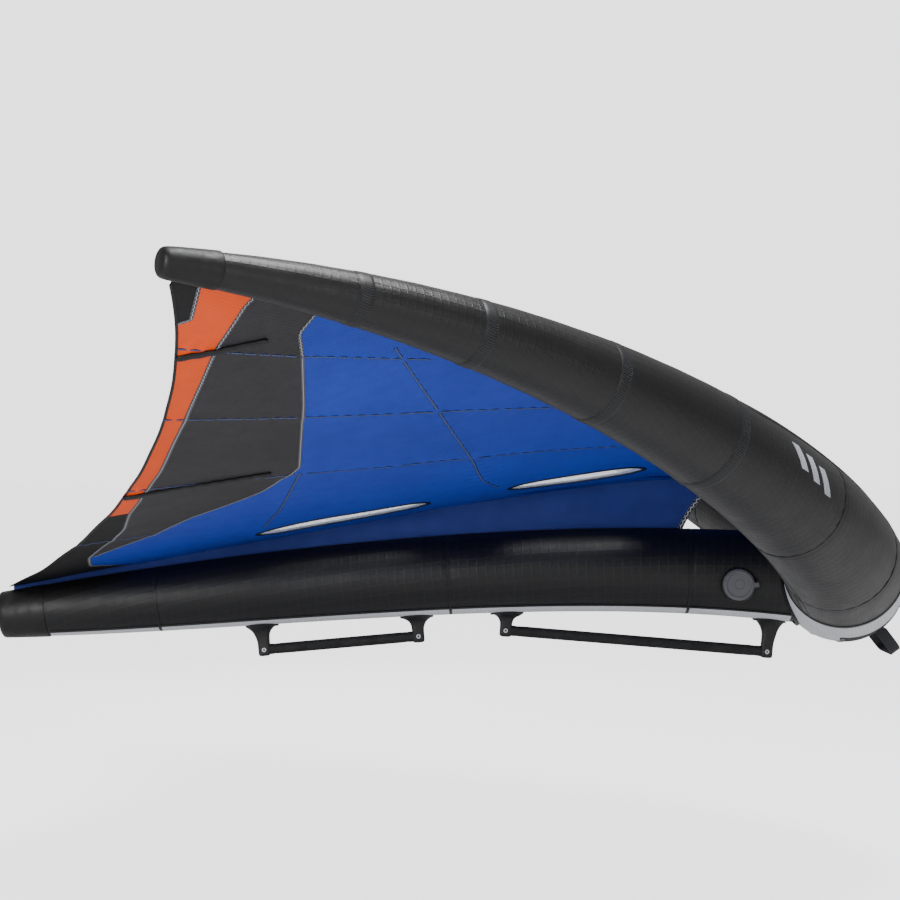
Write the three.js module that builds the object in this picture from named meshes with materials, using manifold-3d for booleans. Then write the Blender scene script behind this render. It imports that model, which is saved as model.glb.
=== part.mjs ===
// Inflatable hand-held wing for board sports: an inflated leading edge and centre strut,
// a sewn canopy with windows and battens, a keel web and two rigid handles under the strut.
// Millimetres. +X points forward, +Y to the wing's left, +Z up. The origin is the middle of
// the front handle bar, where the wing is held and balances.
import * as THREE from 'three';
import Module from 'manifold-3d';
import { mergeVertices } from 'three/addons/utils/BufferGeometryUtils.js';

const wasm = await Module();
wasm.setup();

// ---------------------------------------------------------------- driving dimensions

// Leading edge: half of its axis runs from the nose to one wing tip.
const HALF_SPAN = 1500;
const NOSE_X = 480;
const NOSE_Z = 136;
const SWEEP = 1415;
const TIP_RISE = 634;
const RISE_SLOPE_NOSE = 0.3;
const RISE_SLOPE_TIP = 0.45;
const NOSE_RADIUS = 140;
const TIP_RADIUS = 26;
const TAPER_POWER = 1.7;

// Trailing edge of the canopy, from the strut's rear end to the wing tip (left half).
const TRAILING_REAR_X = -1474;
const TRAILING_REAR_Z = 127.4;
const TRAILING_TIP_X = -920;
const TRAILING_TIP_Z = 745.6;
const TRAILING_TIP_INSET = 30;
const TRAILING_REAR_REACH = 347;
const TRAILING_REAR_LIFT = 0.232;
const TRAILING_TIP_LIFT = 0.636;

// Canopy profile: where it leaves the leading edge and how full it is.
const ATTACH_ANGLE_NOSE = 60;
const ATTACH_ANGLE_TIP = 200;
const LEAVE_ANGLE_NOSE = 30;
const FRONT_REACH = 0.2;
const REAR_REACH = 0.84;
const CAMBER_NOSE = 6.3;
const CAMBER_TIP = 3.5;

// Centre strut: an arched, tapered tube in the plane of symmetry.
const STRUT_REAR = [-1480, 62];
const STRUT_REAR_PULL = [-900, 117];
const STRUT_FRONT_PULL = [-150, 218];
const STRUT_RADII = [52, 100, 90, 106];
const STRUT_BLADDER = { rear: 0.004, front: 0.9, boreRear: 0.006, boreFront: 0.897 };
const REAR_CAP_END = 0.056;
const REAR_CAP_STEPS = [[8, 12], [2, 9], [0, 3]];
const KEEL_STRIP_ANGLE = 36;
const KEEL_STRIP_SHARES = [0.059, 0.96];

// Material thicknesses.
const CASING_WALL = 1.0;
const BLADDER_WALL = 1.0;
const CANOPY_SHEET = 1.0;
const TAPE_THICKNESS = 1.2;
const CAP_WALL = 2.4;

// Clearances.
const GAP = 0.3;
const SEAM_GAP = 0.4;
const CANOPY_SEAT = 1.8;
const WRAP_SEAT = 0.8;
const ROW_GAP = 0.001;
const WEB_SEAT = 0.4;
const SLIDE_GAP = 0.4;
const BORE_PAST = 0.004;

// Leading edge fittings, placed as shares t of the half span.
const CENTRE_PANEL_END = 0.13;
const CASING_END = 0.992;
const BLADDER_END = 0.98;
const BLADDER_BORE_END = 0.978;
const PORT_RADIUS = 12;
const TIP_CAP_START = 0.966;
const TIP_CAP_FLOOR = 0.9935;
const JOINT_BANDS = [0.535, 0.67, 0.787, 0.877];
const BAND_WIDTH = 28;
const BAND_ANGLES = [-150, 90];
const SEAM_TAPE_START = 0.2;
const SEAM_TAPE_END = 0.523;
const SEAM_TAPE_ANGLES = [50, 68];
const SEAM_TAPE_THICKNESS = 3;

// Canopy panel borders: pairs of span share t and chord share s (0 = trailing edge).
const REAR_BORDER = [
  [0, 0.06], [0.065, 0.03], [0.13, 0.02], [0.27, 0.02], [0.34, 0.014], [0.48, 0.016],
  [0.69, 0.028], [0.81, 0.068], [0.895, 0.248], [0.925, 0.97], [0.95, 1],
];
const GREY_BORDER = [
  [0.13, 0.0215], [0.27, 0.06], [0.34, 0.1], [0.41, 0.124], [0.55, 0.131], [0.62, 0.143],
  [0.75, 0.193], [0.81, 0.25], [0.85, 0.42], [0.88, 0.97], [0.895, 1],
];
const TIP_BORDER = [[0.895, 0], [0.896, 0.045], [0.95, 0.2], [0.968, 0.97], [0.985, 1]];
const CORNER_END = 0.34;
const GREY_START = 0.13;
const GREY_END = 0.925;
const MAIN_END = 0.88;
const TRAILING_END = 0.968;
const TIP_PATCH_ROWS = [0.8963, 0.985];

// Windows beside the keel: rear and front ends in X, inner and outer edges in Y.
const WINDOWS = { rear: [-880, -486], front: [-300, 10] };
const WINDOW_INNER = 78;
const WINDOW_OUTER = 158;
const WINDOW_TAPER = 22;

// Battens, in pockets under the canopy.
const BATTENS = { upper: [0.81, 0.004, 0.17], lower: [0.41, 0.003, 0.1] };
const BATTEN_WIDTH = 15;
const BATTEN_THICKNESS = 2;
const POCKET_WALL = 1.2;

// Keel web front edge, from the strut to the canopy.
const WEB_FRONT_FOOT_X = 98;
const WEB_FRONT_TOP_X = 196;
const WEB_FRONT_HOLLOW = 14;
const WEB_FOOT_Z = 200;
const WEB_REAR_INSET = 8;
const WEB_INSIDE_STRUT = [[-1466, 90], [-900, 110], [-300, 160]];
const WEB_THICKNESS = 1.2;
const BINDING_WIDTH = 11;
const BINDING_THICKNESS = 3;

// Rigid handles: centre of the bar, slope of the bar, distance between its two screws.
const HANDLES = {
  rear: { x: -692, z: -4.5, slope: 5.0, length: 363.5 },
  front: { x: 0, z: 0, slope: -4.65, length: 615 },
};
const BAR_RADIUS = 12.4;
const POST_WIDTH = 27;
const POST_THICKNESS = 26;
const FOOT_DROP = 15;
const FOOT_CORNER = 5;
const POST_RISE = 80;
const POST_WAIST = 14;
const FLARE_PULL = [3, 38];
const FLARE_TOP = [4, 54];
const FLANGE_LENGTH = 79;
const FLANGE_WIDTH = 58;
const FLANGE_THICKNESS = 4;
const TONGUE = { length: 19, width: 11, height: 15 };
const SCREW = { shank: 3, head: 5.2, headHeight: 3, socket: 2.6, socketDepth: 1.8 };

// Inflation valve on the strut's right side.
const VALVE_X = 228;
const VALVE_Z = 138;
const VALVE = {
  flange: 40, flangeRise: 6, body: 26, bore: 19, depth: 26, seat: 14, seatThickness: 3,
  cap: 36, capHeight: 6, plug: 18.4, plugDepth: 3, hinge: 44, knuckle: 3.6, pin: 1.6,
  lugHalf: 10, knuckleHalf: 6,
  poppet: 16.5, poppetThickness: 2.4, stem: 3.4, button: 6.5,
};

// Webbing grab handle under the nose.
const NOSE_HANDLE_ANGLE = -53;
const NOSE_HANDLE = { width: 28, thickness: 4.5, halfLength: 88, height: 56, corner: 26 };
const NOSE_PATCH_END = 0.065;
const NOSE_PATCH_ANGLES = [-95, -22];

// Resolution: sides of the tubes, and the span shares where their facets start and end.
const LEADING_SIDES = 12;
const STRUT_SIDES = 16;
const STRUT_ROWS = 10;
const MAIN_COLUMNS = 9;
const CORNER_COLUMNS = 2;
const LEADING_ROWS = [
  0, 0.065, 0.13, 0.2, 0.27, 0.34, 0.41, 0.48, 0.55, 0.62, 0.69, 0.75, 0.81, 0.88, 0.925,
  0.968, 1,
];
const CANOPY_ROWS = [
  0, 0.065, 0.13, 0.2, 0.27, 0.34, 0.341, 0.41, 0.48, 0.55, 0.62, 0.69, 0.75, 0.81, 0.85,
  0.88, 0.895, 0.896, 0.925, 0.95, 0.968, 0.985,
];

// ---------------------------------------------------------------- small tools

const UP = new THREE.Vector3(0, 0, 1);
const ACROSS = new THREE.Vector3(0, 1, 0);
const radians = (degrees) => degrees * Math.PI / 180;
const mix = (a, b, k) => a + (b - a) * k;
const vector = (x, y, z) => new THREE.Vector3(x, y, z);

/** Value at t of a broken line given as [t, value] pairs. */
function along(pairs, t) {
  if (t <= pairs[0][0]) return pairs[0][1];
  for (let i = 1; i < pairs.length; i += 1) {
    const [t0, v0] = pairs[i - 1];
    const [t1, v1] = pairs[i];
    if (t <= t1) return mix(v0, v1, (t - t0) / (t1 - t0));
  }
  return pairs[pairs.length - 1][1];
}

/** Two ends and the listed shares between them. */
function rowsOf(list, from, to) {
  return [from, ...list.filter((t) => t > from + 1e-6 && t < to - 1e-6), to];
}

const bothSides = [...LEADING_ROWS.slice(1).reverse().map((t) => -t), ...LEADING_ROWS];
const rowsBetween = (from, to) => rowsOf(bothSides, from, to);
const panelRows = (from, to) => rowsOf(CANOPY_ROWS, from, to);

/** A buffer geometry from points and triangles, turned so that its faces point out. */
function closedGeometry(points, triangles) {
  let volume = 0;
  for (const [a, b, c] of triangles) {
    volume += points[a].dot(points[b].clone().cross(points[c]));
  }
  const geometry = new THREE.BufferGeometry();
  geometry.setAttribute('position', new THREE.Float32BufferAttribute(
    points.flatMap((p) => [p.x, p.y, p.z]), 3));
  geometry.setIndex(triangles.flatMap(([a, b, c]) => (volume < 0 ? [a, c, b] : [a, b, c])));
  return geometry;
}

/** Closed solid through a row of rings, each with the same number of points. */
function loft(rings) {
  const count = rings[0].length;
  const points = rings.flat();
  const triangles = [];
  for (let i = 0; i + 1 < rings.length; i += 1) {
    for (let j = 0; j < count; j += 1) {
      const a = i * count + j;
      const b = i * count + (j + 1) % count;
      triangles.push([a, b, b + count], [a, b + count, a + count]);
    }
  }
  for (let j = 1; j + 1 < count; j += 1) {
    const last = (rings.length - 1) * count;
    triangles.push([0, j + 1, j], [last, last + j, last + j + 1]);
  }
  return closedGeometry(points, triangles);
}

/** Closed slab between a lower and an upper grid of points, both rows by columns. */
function slab(lower, upper) {
  const rows = lower.length;
  const columns = lower[0].length;
  const points = [...lower.flat(), ...upper.flat()];
  const low = (i, j) => i * columns + j;
  const high = (i, j) => (rows + i) * columns + j;
  const triangles = [];
  const quad = (a, b, c, d) => triangles.push([a, b, c], [a, c, d]);
  for (let i = 0; i + 1 < rows; i += 1) {
    for (let j = 0; j + 1 < columns; j += 1) {
      quad(low(i, j), low(i, j + 1), low(i + 1, j + 1), low(i + 1, j));
      quad(high(i, j), high(i + 1, j), high(i + 1, j + 1), high(i, j + 1));
    }
    quad(low(i, 0), low(i + 1, 0), high(i + 1, 0), high(i, 0));
    const last = columns - 1;
    quad(low(i, last), high(i, last), high(i + 1, last), low(i + 1, last));
  }
  for (let j = 0; j + 1 < columns; j += 1) {
    quad(low(0, j), high(0, j), high(0, j + 1), low(0, j + 1));
    const last = rows - 1;
    quad(low(last, j), low(last, j + 1), high(last, j + 1), high(last, j));
  }
  return closedGeometry(points, triangles);
}

function solid(geometry) {
  const bare = new THREE.BufferGeometry();
  const plain = geometry.index ? geometry.toNonIndexed() : geometry;
  bare.setAttribute('position', plain.getAttribute('position').clone());
  const merged = mergeVertices(bare, 1e-4);
  return new wasm.Manifold(new wasm.Mesh({
    numProp: 3,
    vertProperties: new Float32Array(merged.getAttribute('position').array),
    triVerts: new Uint32Array(merged.index.array),
  }));
}

function geometryOf(body) {
  const mesh = body.getMesh();
  const geometry = new THREE.BufferGeometry();
  geometry.setAttribute('position', new THREE.Float32BufferAttribute(mesh.vertProperties, 3));
  geometry.setIndex([...mesh.triVerts]);
  return geometry;
}

/** The same geometry on the other side of the plane of symmetry. */
function mirrored(geometry) {
  const copy = geometry.clone();
  copy.scale(1, -1, 1);
  const index = [...copy.index.array];
  for (let i = 0; i < index.length; i += 3) {
    [index[i + 1], index[i + 2]] = [index[i + 2], index[i + 1]];
  }
  copy.setIndex(index);
  return copy;
}

/** Cylinder along Y between two Y values. */
function rodAcross(radius, x, z, y0, y1, sides = 24) {
  const geometry = new THREE.CylinderGeometry(radius, radius, Math.abs(y1 - y0), sides);
  return geometry.translate(x, (y0 + y1) / 2, z);
}

function box(x0, x1, y0, y1, z0, z1) {
  const geometry = new THREE.BoxGeometry(x1 - x0, y1 - y0, z1 - z0);
  return geometry.translate((x0 + x1) / 2, (y0 + y1) / 2, (z0 + z1) / 2);
}

/** Outline drawn in X and Z, extruded across Y and centred on the plane of symmetry. */
function plateAcross(shape, thickness, segments = 6) {
  const geometry = new THREE.ExtrudeGeometry(shape, {
    depth: thickness, bevelEnabled: false, curveSegments: segments,
  });
  return geometry.rotateX(Math.PI / 2).translate(0, thickness / 2, 0);
}

// ---------------------------------------------------------------- materials and tree

const FINISHES = {
  casing: [0x1d1d20, 0.62, 0],
  lightDacron: [0xb4b6ba, 0.7, 0],
  bladder: [0xc8ccd0, 0.4, 0],
  rubber: [0x141416, 0.8, 0],
  tape: [0x28282c, 0.6, 0],
  blue: [0x1b4aa8, 0.6, 0],
  darkBlue: [0x14307c, 0.6, 0],
  grey: [0x4a484a, 0.65, 0],
  orange: [0xf26a1b, 0.6, 0],
  film: [0xdfe6ee, 0.15, 0],
  fibreglass: [0xd9d2b8, 0.4, 0],
  plastic: [0x1a1a1c, 0.55, 0],
  foam: [0x17171a, 0.85, 0],
  steel: [0xb9bcc0, 0.3, 1],
  webbing: [0x202024, 0.85, 0],
};

const wing = new THREE.Group();

function addPiece(name, finish, geometry, parent = wing) {
  const [color, roughness, metalness] = FINISHES[finish];
  const material = new THREE.MeshStandardMaterial({ color, roughness, metalness });
  const mesh = new THREE.Mesh(geometry, material);
  mesh.name = name;
  parent.add(mesh);
  return mesh;
}

/** Adds a piece built for the left half, and its mirror image for the right half. */
function addPair(name, finish, geometry) {
  addPiece(`${name}_left`, finish, geometry);
  addPiece(`${name}_right`, finish, mirrored(geometry));
}

// ---------------------------------------------------------------- leading edge curve

/** Share of the tip's rise reached at span share t, with a set slope at both ends. */
function riseShare(t) {
  const smooth = 3 * t * t - 2 * t ** 3;
  const start = t ** 3 - 2 * t * t + t;
  const end = t ** 3 - t * t;
  return smooth + RISE_SLOPE_NOSE * start + RISE_SLOPE_TIP * end;
}

/** Point on the leading edge's axis; t runs from -1 (right tip) to 1 (left tip). */
function leadingAxis(t) {
  const a = Math.abs(t);
  return vector(NOSE_X - SWEEP * a * a, HALF_SPAN * t, NOSE_Z + TIP_RISE * riseShare(a));
}

function leadingRadius(t) {
  return mix(NOSE_RADIUS, TIP_RADIUS, Math.abs(t) ** TAPER_POWER);
}

/** Forward and upward directions square to the axis. */
function leadingFrame(t) {
  const step = 1e-3;
  const tangent = leadingAxis(t + step).sub(leadingAxis(t - step)).normalize();
  const up = UP.clone().addScaledVector(tangent, -UP.dot(tangent)).normalize();
  const forward = tangent.clone().cross(up);
  return { tangent, up, forward };
}

/** Point at an angle around the tube (0 = forward, 90 = up), off its surface by offset. */
function leadingPoint(t, degrees, offset = 0) {
  const { up, forward } = leadingFrame(t);
  const radius = leadingRadius(t) + offset;
  return leadingAxis(t)
    .addScaledVector(forward, radius * Math.cos(radians(degrees)))
    .addScaledVector(up, radius * Math.sin(radians(degrees)));
}

const leadingStep = 360 / LEADING_SIDES;

/** Point on the tube's flat facets; step counts its sides and may fall between two. */
function leadingFacetPoint(t, step, offset) {
  const a = Math.abs(t);
  const side = Math.sign(t) || 1;
  const next = Math.max(1, LEADING_ROWS.findIndex((row) => row >= a - 1e-9));
  const t0 = LEADING_ROWS[next - 1];
  const t1 = LEADING_ROWS[next];
  const corner = (k) => leadingPoint(side * t0, k * leadingStep, offset)
    .lerp(leadingPoint(side * t1, k * leadingStep, offset), (a - t0) / (t1 - t0));
  const whole = Math.floor(step);
  return corner(whole).lerp(corner(whole + 1), step - whole);
}

function leadingRing(t, offset) {
  return Array.from({ length: LEADING_SIDES }, (_, k) => leadingFacetPoint(t, k, offset));
}

/** Solid tube over part of the span, its surface off the casing's outside by offset. */
function leadingSolid(rows, offset) {
  return solid(loft(rows.map((t) => leadingRing(t, offset))));
}

/** Open-ended wall of the tube: the bore runs past both ends. */
function leadingWall(rows, outside, wall) {
  const bore = rowsBetween(rows[0] - BORE_PAST, rows[rows.length - 1] + BORE_PAST);
  return leadingSolid(rows, outside).subtract(leadingSolid(bore, outside - wall));
}

/** Two ends and the whole steps between them. */
function stepsBetween(from, to) {
  const steps = [from];
  for (let k = Math.floor(from) + 1; k < to; k += 1) steps.push(k);
  return [...steps, to];
}

/** A sheet wrapped on the tube between two angles in degrees. */
function leadingWrap(rows, fromAngle, toAngle, seat, thickness) {
  const steps = stepsBetween(fromAngle / leadingStep, toAngle / leadingStep);
  const grid = (offset) => rows.map((t) => steps.map((k) => leadingFacetPoint(t, k, offset)));
  return slab(grid(seat), grid(seat + thickness));
}

/** Rows of the leading edge that the strut runs into. */
const nearNose = rowsBetween(-CORNER_END, CORNER_END);

// ---------------------------------------------------------------- strut curve

const strutAxis = new THREE.CubicBezierCurve3(
  vector(STRUT_REAR[0], 0, STRUT_REAR[1]),
  vector(STRUT_REAR_PULL[0], 0, STRUT_REAR_PULL[1]),
  vector(STRUT_FRONT_PULL[0], 0, STRUT_FRONT_PULL[1]),
  vector(NOSE_X, 0, NOSE_Z),
);

function strutRadius(u) {
  const [a, b, c, d] = STRUT_RADII;
  const v = 1 - u;
  return a * v ** 3 + 3 * b * v * v * u + 3 * c * v * u * u + d * u ** 3;
}

const strutStep = 360 / STRUT_SIDES;

/** Point on the strut (0 degrees = left, 90 = top), off its surface by offset. */
function strutPoint(u, degrees, offset) {
  const tangent = strutAxis.getTangent(u);
  const up = tangent.clone().cross(ACROSS).normalize();
  const radius = strutRadius(u) + offset;
  return strutAxis.getPoint(u)
    .addScaledVector(ACROSS, radius * Math.cos(radians(degrees)))
    .addScaledVector(up, radius * Math.sin(radians(degrees)));
}

/** Strut rows: even steps of the curve's own parameter, with the given ends added. */
function strutRows(from, to) {
  const rows = [from];
  for (let i = 1; i < STRUT_ROWS; i += 1) {
    const u = i / STRUT_ROWS;
    if (u > from + 0.01 && u < to - 0.01) rows.push(u);
  }
  rows.push(to);
  return rows;
}

/** Point on the strut's flat facets; step counts its sides and may fall between two. */
function strutFacetPoint(u, step, offset) {
  const i = Math.min(Math.floor(u * STRUT_ROWS + 1e-9), STRUT_ROWS - 1);
  const k = u * STRUT_ROWS - i;
  const corner = (side) => strutPoint(i / STRUT_ROWS, side * strutStep, offset)
    .lerp(strutPoint((i + 1) / STRUT_ROWS, side * strutStep, offset), k);
  const whole = Math.floor(step);
  return corner(whole).lerp(corner(whole + 1), step - whole);
}

function strutRing(u, offset) {
  return Array.from({ length: STRUT_SIDES }, (_, side) => strutFacetPoint(u, side, offset));
}

function strutSolid(from, to, offset) {
  return solid(loft(strutRows(from, to).map((u) => strutRing(u, offset))));
}

/** A ring pushed backwards past the strut's rear end. */
function pastRear(offset, distance) {
  const back = strutAxis.getTangent(0).multiplyScalar(-distance);
  return strutRing(0, offset).map((p) => p.clone().add(back));
}

// ---------------------------------------------------------------- canopy surface

const trailingEdge = new THREE.CubicBezierCurve3(
  vector(TRAILING_REAR_X, 0, TRAILING_REAR_Z),
  vector(TRAILING_REAR_X + TRAILING_REAR_REACH, HALF_SPAN / 3,
    mix(TRAILING_REAR_Z, TRAILING_TIP_Z, TRAILING_REAR_LIFT)),
  vector(TRAILING_TIP_X, HALF_SPAN * 2 / 3,
    mix(TRAILING_REAR_Z, TRAILING_TIP_Z, TRAILING_TIP_LIFT)),
  vector(TRAILING_TIP_X, HALF_SPAN - TRAILING_TIP_INSET, TRAILING_TIP_Z),
);

/** How far off the casing the canopy's front edge lies: it steps out over the tip cap. */
function canopySeat(t) {
  const onCasing = CANOPY_SHEET / 2 + CANOPY_SEAT;
  return t > TIP_CAP_START ? onCasing + CAP_WALL + GAP : onCasing;
}

const profiles = new Map();

/** Chordwise curve of the left canopy at span share t, from trailing edge to front edge. */
function canopyProfile(t) {
  if (profiles.has(t)) return profiles.get(t);
  const { up, forward } = leadingFrame(t);
  const attach = mix(ATTACH_ANGLE_NOSE, ATTACH_ANGLE_TIP, t);
  const leave = radians(mix(LEAVE_ANGLE_NOSE, 0, t));
  const front = leadingFacetPoint(t, attach / leadingStep, canopySeat(t));
  const rear = trailingEdge.getPoint(t);
  const chord = front.clone().sub(rear);
  const length = chord.length();
  const ahead = chord.normalize();
  const lift = up.clone().addScaledVector(ahead, -up.dot(ahead)).normalize();
  const camber = radians(mix(CAMBER_NOSE, CAMBER_TIP, t));
  const leaving = forward.clone().multiplyScalar(-Math.cos(leave))
    .addScaledVector(up, Math.sin(leave));
  const frontPull = front.clone().addScaledVector(leaving, FRONT_REACH * length);
  const rearPull = rear.clone()
    .addScaledVector(ahead, REAR_REACH * length * Math.cos(camber))
    .addScaledVector(lift, REAR_REACH * length * Math.sin(camber));
  const curve = new THREE.CubicBezierCurve3(rear, rearPull, frontPull, front);
  profiles.set(t, curve);
  return curve;
}

function canopyPoint(t, s) {
  const point = canopyProfile(t).getPoint(s);
  point.y = Math.max(point.y, SEAM_GAP);
  return point;
}

/** Upward normal of the left canopy; on the keel line it has no sideways part. */
function canopyNormal(t, s) {
  const h = 0.004;
  const s0 = Math.max(s - h, 0);
  const s1 = Math.min(s + h, 1);
  const t0 = Math.max(t - h, 0);
  const t1 = Math.min(t + h, 0.999);
  const chordwise = canopyProfile(t).getPoint(s1).sub(canopyProfile(t).getPoint(s0));
  const spanwise = t > 0
    ? canopyProfile(t1).getPoint(s).sub(canopyProfile(t0).getPoint(s))
    : ACROSS;
  return chordwise.cross(spanwise).normalize();
}

/** Chord share that moves a border by a distance along the chord. */
function chordShift(t, s, distance) {
  const h = 0.01;
  const s0 = Math.max(s - h, 0);
  const s1 = Math.min(s + h, 1);
  const span = canopyProfile(t).getPoint(s1).distanceTo(canopyProfile(t).getPoint(s0));
  return distance * (s1 - s0) / span;
}

/** A sewn canopy panel between two borders, given as functions of the span share. */
function canopyPanel(rows, rearBorder, frontBorder, columns) {
  const lower = [];
  const upper = [];
  for (const t of rows) {
    const rear = rearBorder(t);
    const front = frontBorder(t);
    const s0 = rear > 0 ? rear + chordShift(t, rear, SEAM_GAP) : 0;
    const s1 = front < 1 ? front - chordShift(t, front, SEAM_GAP) : 1;
    const low = [];
    const high = [];
    for (let j = 0; j <= columns; j += 1) {
      const s = mix(s0, s1, j / columns);
      const point = canopyPoint(t, s);
      const half = canopyNormal(t, s).multiplyScalar(CANOPY_SHEET / 2);
      low.push(point.clone().sub(half));
      high.push(point.clone().add(half));
    }
    lower.push(low);
    upper.push(high);
  }
  return slab(lower, upper);
}

/** Keel line just under the canopy: [x, z] at each corner of the panels, rear to front. */
function keelLine() {
  const border = REAR_BORDER[0][1];
  const shift = chordShift(0, border, SEAM_GAP);
  const shares = [];
  for (let j = 0; j <= CORNER_COLUMNS; j += 1) {
    shares.push(mix(0, border - shift, j / CORNER_COLUMNS));
  }
  for (let j = 0; j <= MAIN_COLUMNS; j += 1) {
    shares.push(mix(border + shift, 1, j / MAIN_COLUMNS));
  }
  return shares.map((s) => {
    const drop = -CANOPY_SHEET / 2 - WEB_SEAT;
    const point = canopyPoint(0, s).addScaledVector(canopyNormal(0, s), drop);
    return [point.x, point.z];
  });
}

// ---------------------------------------------------------------- leading edge pieces

/** Short rod along X through the wall between two bladders. */
function portRod(radius, x) {
  const geometry = new THREE.CylinderGeometry(radius, radius, 60, 16);
  return solid(geometry.rotateZ(Math.PI / 2).translate(x, 0, NOSE_Z));
}

function buildLeadingEdge() {
  const halfRows = rowsBetween(CENTRE_PANEL_END + GAP / HALF_SPAN, CASING_END);
  addPair('leading_edge_casing', 'casing', geometryOf(leadingWall(halfRows, 0, CASING_WALL)));

  const centreRows = rowsBetween(-CENTRE_PANEL_END, CENTRE_PANEL_END);
  const rearX = NOSE_X - NOSE_RADIUS;
  const centre = leadingWall(centreRows, 0, CASING_WALL)
    .subtract(portRod(PORT_RADIUS + 1, rearX));
  addPiece('leading_edge_centre_panel', 'lightDacron', geometryOf(centre));

  const bladderOutside = -CASING_WALL - GAP;
  const bladderRows = rowsBetween(-BLADDER_END, BLADDER_END);
  const innerRows = rowsBetween(-BLADDER_BORE_END, BLADDER_BORE_END);
  const bladder = leadingSolid(bladderRows, bladderOutside)
    .subtract(leadingSolid(innerRows, bladderOutside - BLADDER_WALL))
    .subtract(portRod(PORT_RADIUS, rearX));
  addPiece('leading_edge_bladder', 'bladder', geometryOf(bladder));

  const capOutside = leadingSolid(rowsBetween(TIP_CAP_START, 1), GAP + CAP_WALL);
  const capInside = leadingSolid(rowsBetween(TIP_CAP_START - BORE_PAST, TIP_CAP_FLOOR), GAP);
  addPair('leading_edge_tip_cap', 'rubber', geometryOf(capOutside.subtract(capInside)));

  JOINT_BANDS.forEach((t, i) => {
    const length = leadingAxis(t + 0.01).distanceTo(leadingAxis(t - 0.01)) / 0.02;
    const half = BAND_WIDTH / 2 / length;
    const band = leadingWrap(rowsBetween(t - half, t + half), ...BAND_ANGLES,
      WRAP_SEAT, TAPE_THICKNESS);
    addPair(`leading_edge_joint_band_${i + 1}`, 'tape', band);
  });

  const tapeRows = rowsBetween(SEAM_TAPE_START, SEAM_TAPE_END);
  addPair('leading_edge_seam_tape', 'tape',
    leadingWrap(tapeRows, ...SEAM_TAPE_ANGLES, WRAP_SEAT, SEAM_TAPE_THICKNESS));
}

// ---------------------------------------------------------------- strut pieces

function buildStrut() {
  const valveHole = solid(rodAcross(VALVE.body + SLIDE_GAP, VALVE_X, VALVE_Z, -160, 0, 24));
  const aroundNose = leadingSolid(nearNose, GAP);
  const casing = strutSolid(0, 1, 0).subtract(aroundNose)
    .subtract(solid(loft([
      pastRear(-CASING_WALL, 10),
      ...strutRows(0, 1).map((u) => strutRing(u, -CASING_WALL)),
    ])))
    .subtract(valveHole);
  addPiece('strut_casing', 'casing', geometryOf(casing));

  const outside = -CASING_WALL - GAP;
  const { rear, front, boreRear, boreFront } = STRUT_BLADDER;
  const bladder = strutSolid(rear, front, outside)
    .subtract(strutSolid(boreRear, boreFront, outside - BLADDER_WALL))
    .subtract(valveHole)
    .subtract(portRod(PORT_RADIUS, strutAxis.getPoint(front).x));
  addPiece('strut_bladder', 'bladder', geometryOf(bladder));

  const capSolid = solid(loft([
    ...REAR_CAP_STEPS.map(([inset, back]) => pastRear(GAP + CAP_WALL - inset, back)),
    ...strutRows(0, REAR_CAP_END).map((u) => strutRing(u, GAP + CAP_WALL)),
  ]));
  const capCavity = solid(loft([
    pastRear(GAP, GAP),
    ...strutRows(0, REAR_CAP_END + 0.01).map((u) => strutRing(u, GAP)),
  ]));
  addPiece('strut_rear_cap', 'rubber', geometryOf(capSolid.subtract(capCavity)));

  const steps = stepsBetween((270 - KEEL_STRIP_ANGLE) / strutStep,
    (270 + KEEL_STRIP_ANGLE) / strutStep);
  const grid = (offset) => strutRows(...KEEL_STRIP_SHARES).map((u) => (
    steps.map((k) => strutFacetPoint(u, k, offset))));
  const strip = solid(slab(grid(GAP), grid(GAP + CASING_WALL))).subtract(aroundNose);
  addPiece('strut_keel_strip', 'lightDacron', geometryOf(strip));
}

// ---------------------------------------------------------------- keel web

function buildWeb() {
  const keel = keelLine();
  const rearX = TRAILING_REAR_X + WEB_REAR_INSET;
  const foot = [WEB_FRONT_FOOT_X, WEB_FOOT_Z];
  const top = [WEB_FRONT_TOP_X, along(keel, WEB_FRONT_TOP_X)];
  const hollow = [
    (foot[0] + top[0]) / 2 - WEB_FRONT_HOLLOW, (foot[1] + top[1]) / 2 + WEB_FRONT_HOLLOW,
  ];

  const web = new THREE.Shape();
  web.moveTo(rearX, WEB_INSIDE_STRUT[0][1]);
  for (const corner of WEB_INSIDE_STRUT.slice(1)) web.lineTo(...corner);
  web.lineTo(...foot);
  web.quadraticCurveTo(...hollow, ...top);
  const between = keel.filter(([x]) => x > rearX && x < WEB_FRONT_TOP_X);
  for (const corner of between.reverse()) web.lineTo(...corner);
  web.lineTo(rearX, along(keel, rearX));
  web.closePath();
  const overStrut = strutSolid(0, 1, GAP)
    .add(solid(loft([
      pastRear(GAP * 2 + CAP_WALL, 20),
      ...strutRows(0, KEEL_STRIP_SHARES[0]).map((u) => strutRing(u, GAP * 2 + CAP_WALL)),
    ])));

  const edge = (shift) => {
    const line = new THREE.QuadraticBezierCurve(
      new THREE.Vector2(foot[0] + shift, foot[1]),
      new THREE.Vector2(hollow[0] + shift, hollow[1]),
      new THREE.Vector2(top[0] + shift, top[1] - shift * 0.1),
    );
    return line.getPoints(6);
  };
  const binding = new THREE.Shape([...edge(GAP), ...edge(BINDING_WIDTH).reverse()]);
  addPiece('keel_web', 'darkBlue',
    geometryOf(solid(plateAcross(web, WEB_THICKNESS)).subtract(overStrut)));
  addPiece('keel_web_binding', 'tape',
    geometryOf(solid(plateAcross(binding, BINDING_THICKNESS)).subtract(overStrut)
      .subtract(canopyCutter())));
}

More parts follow.
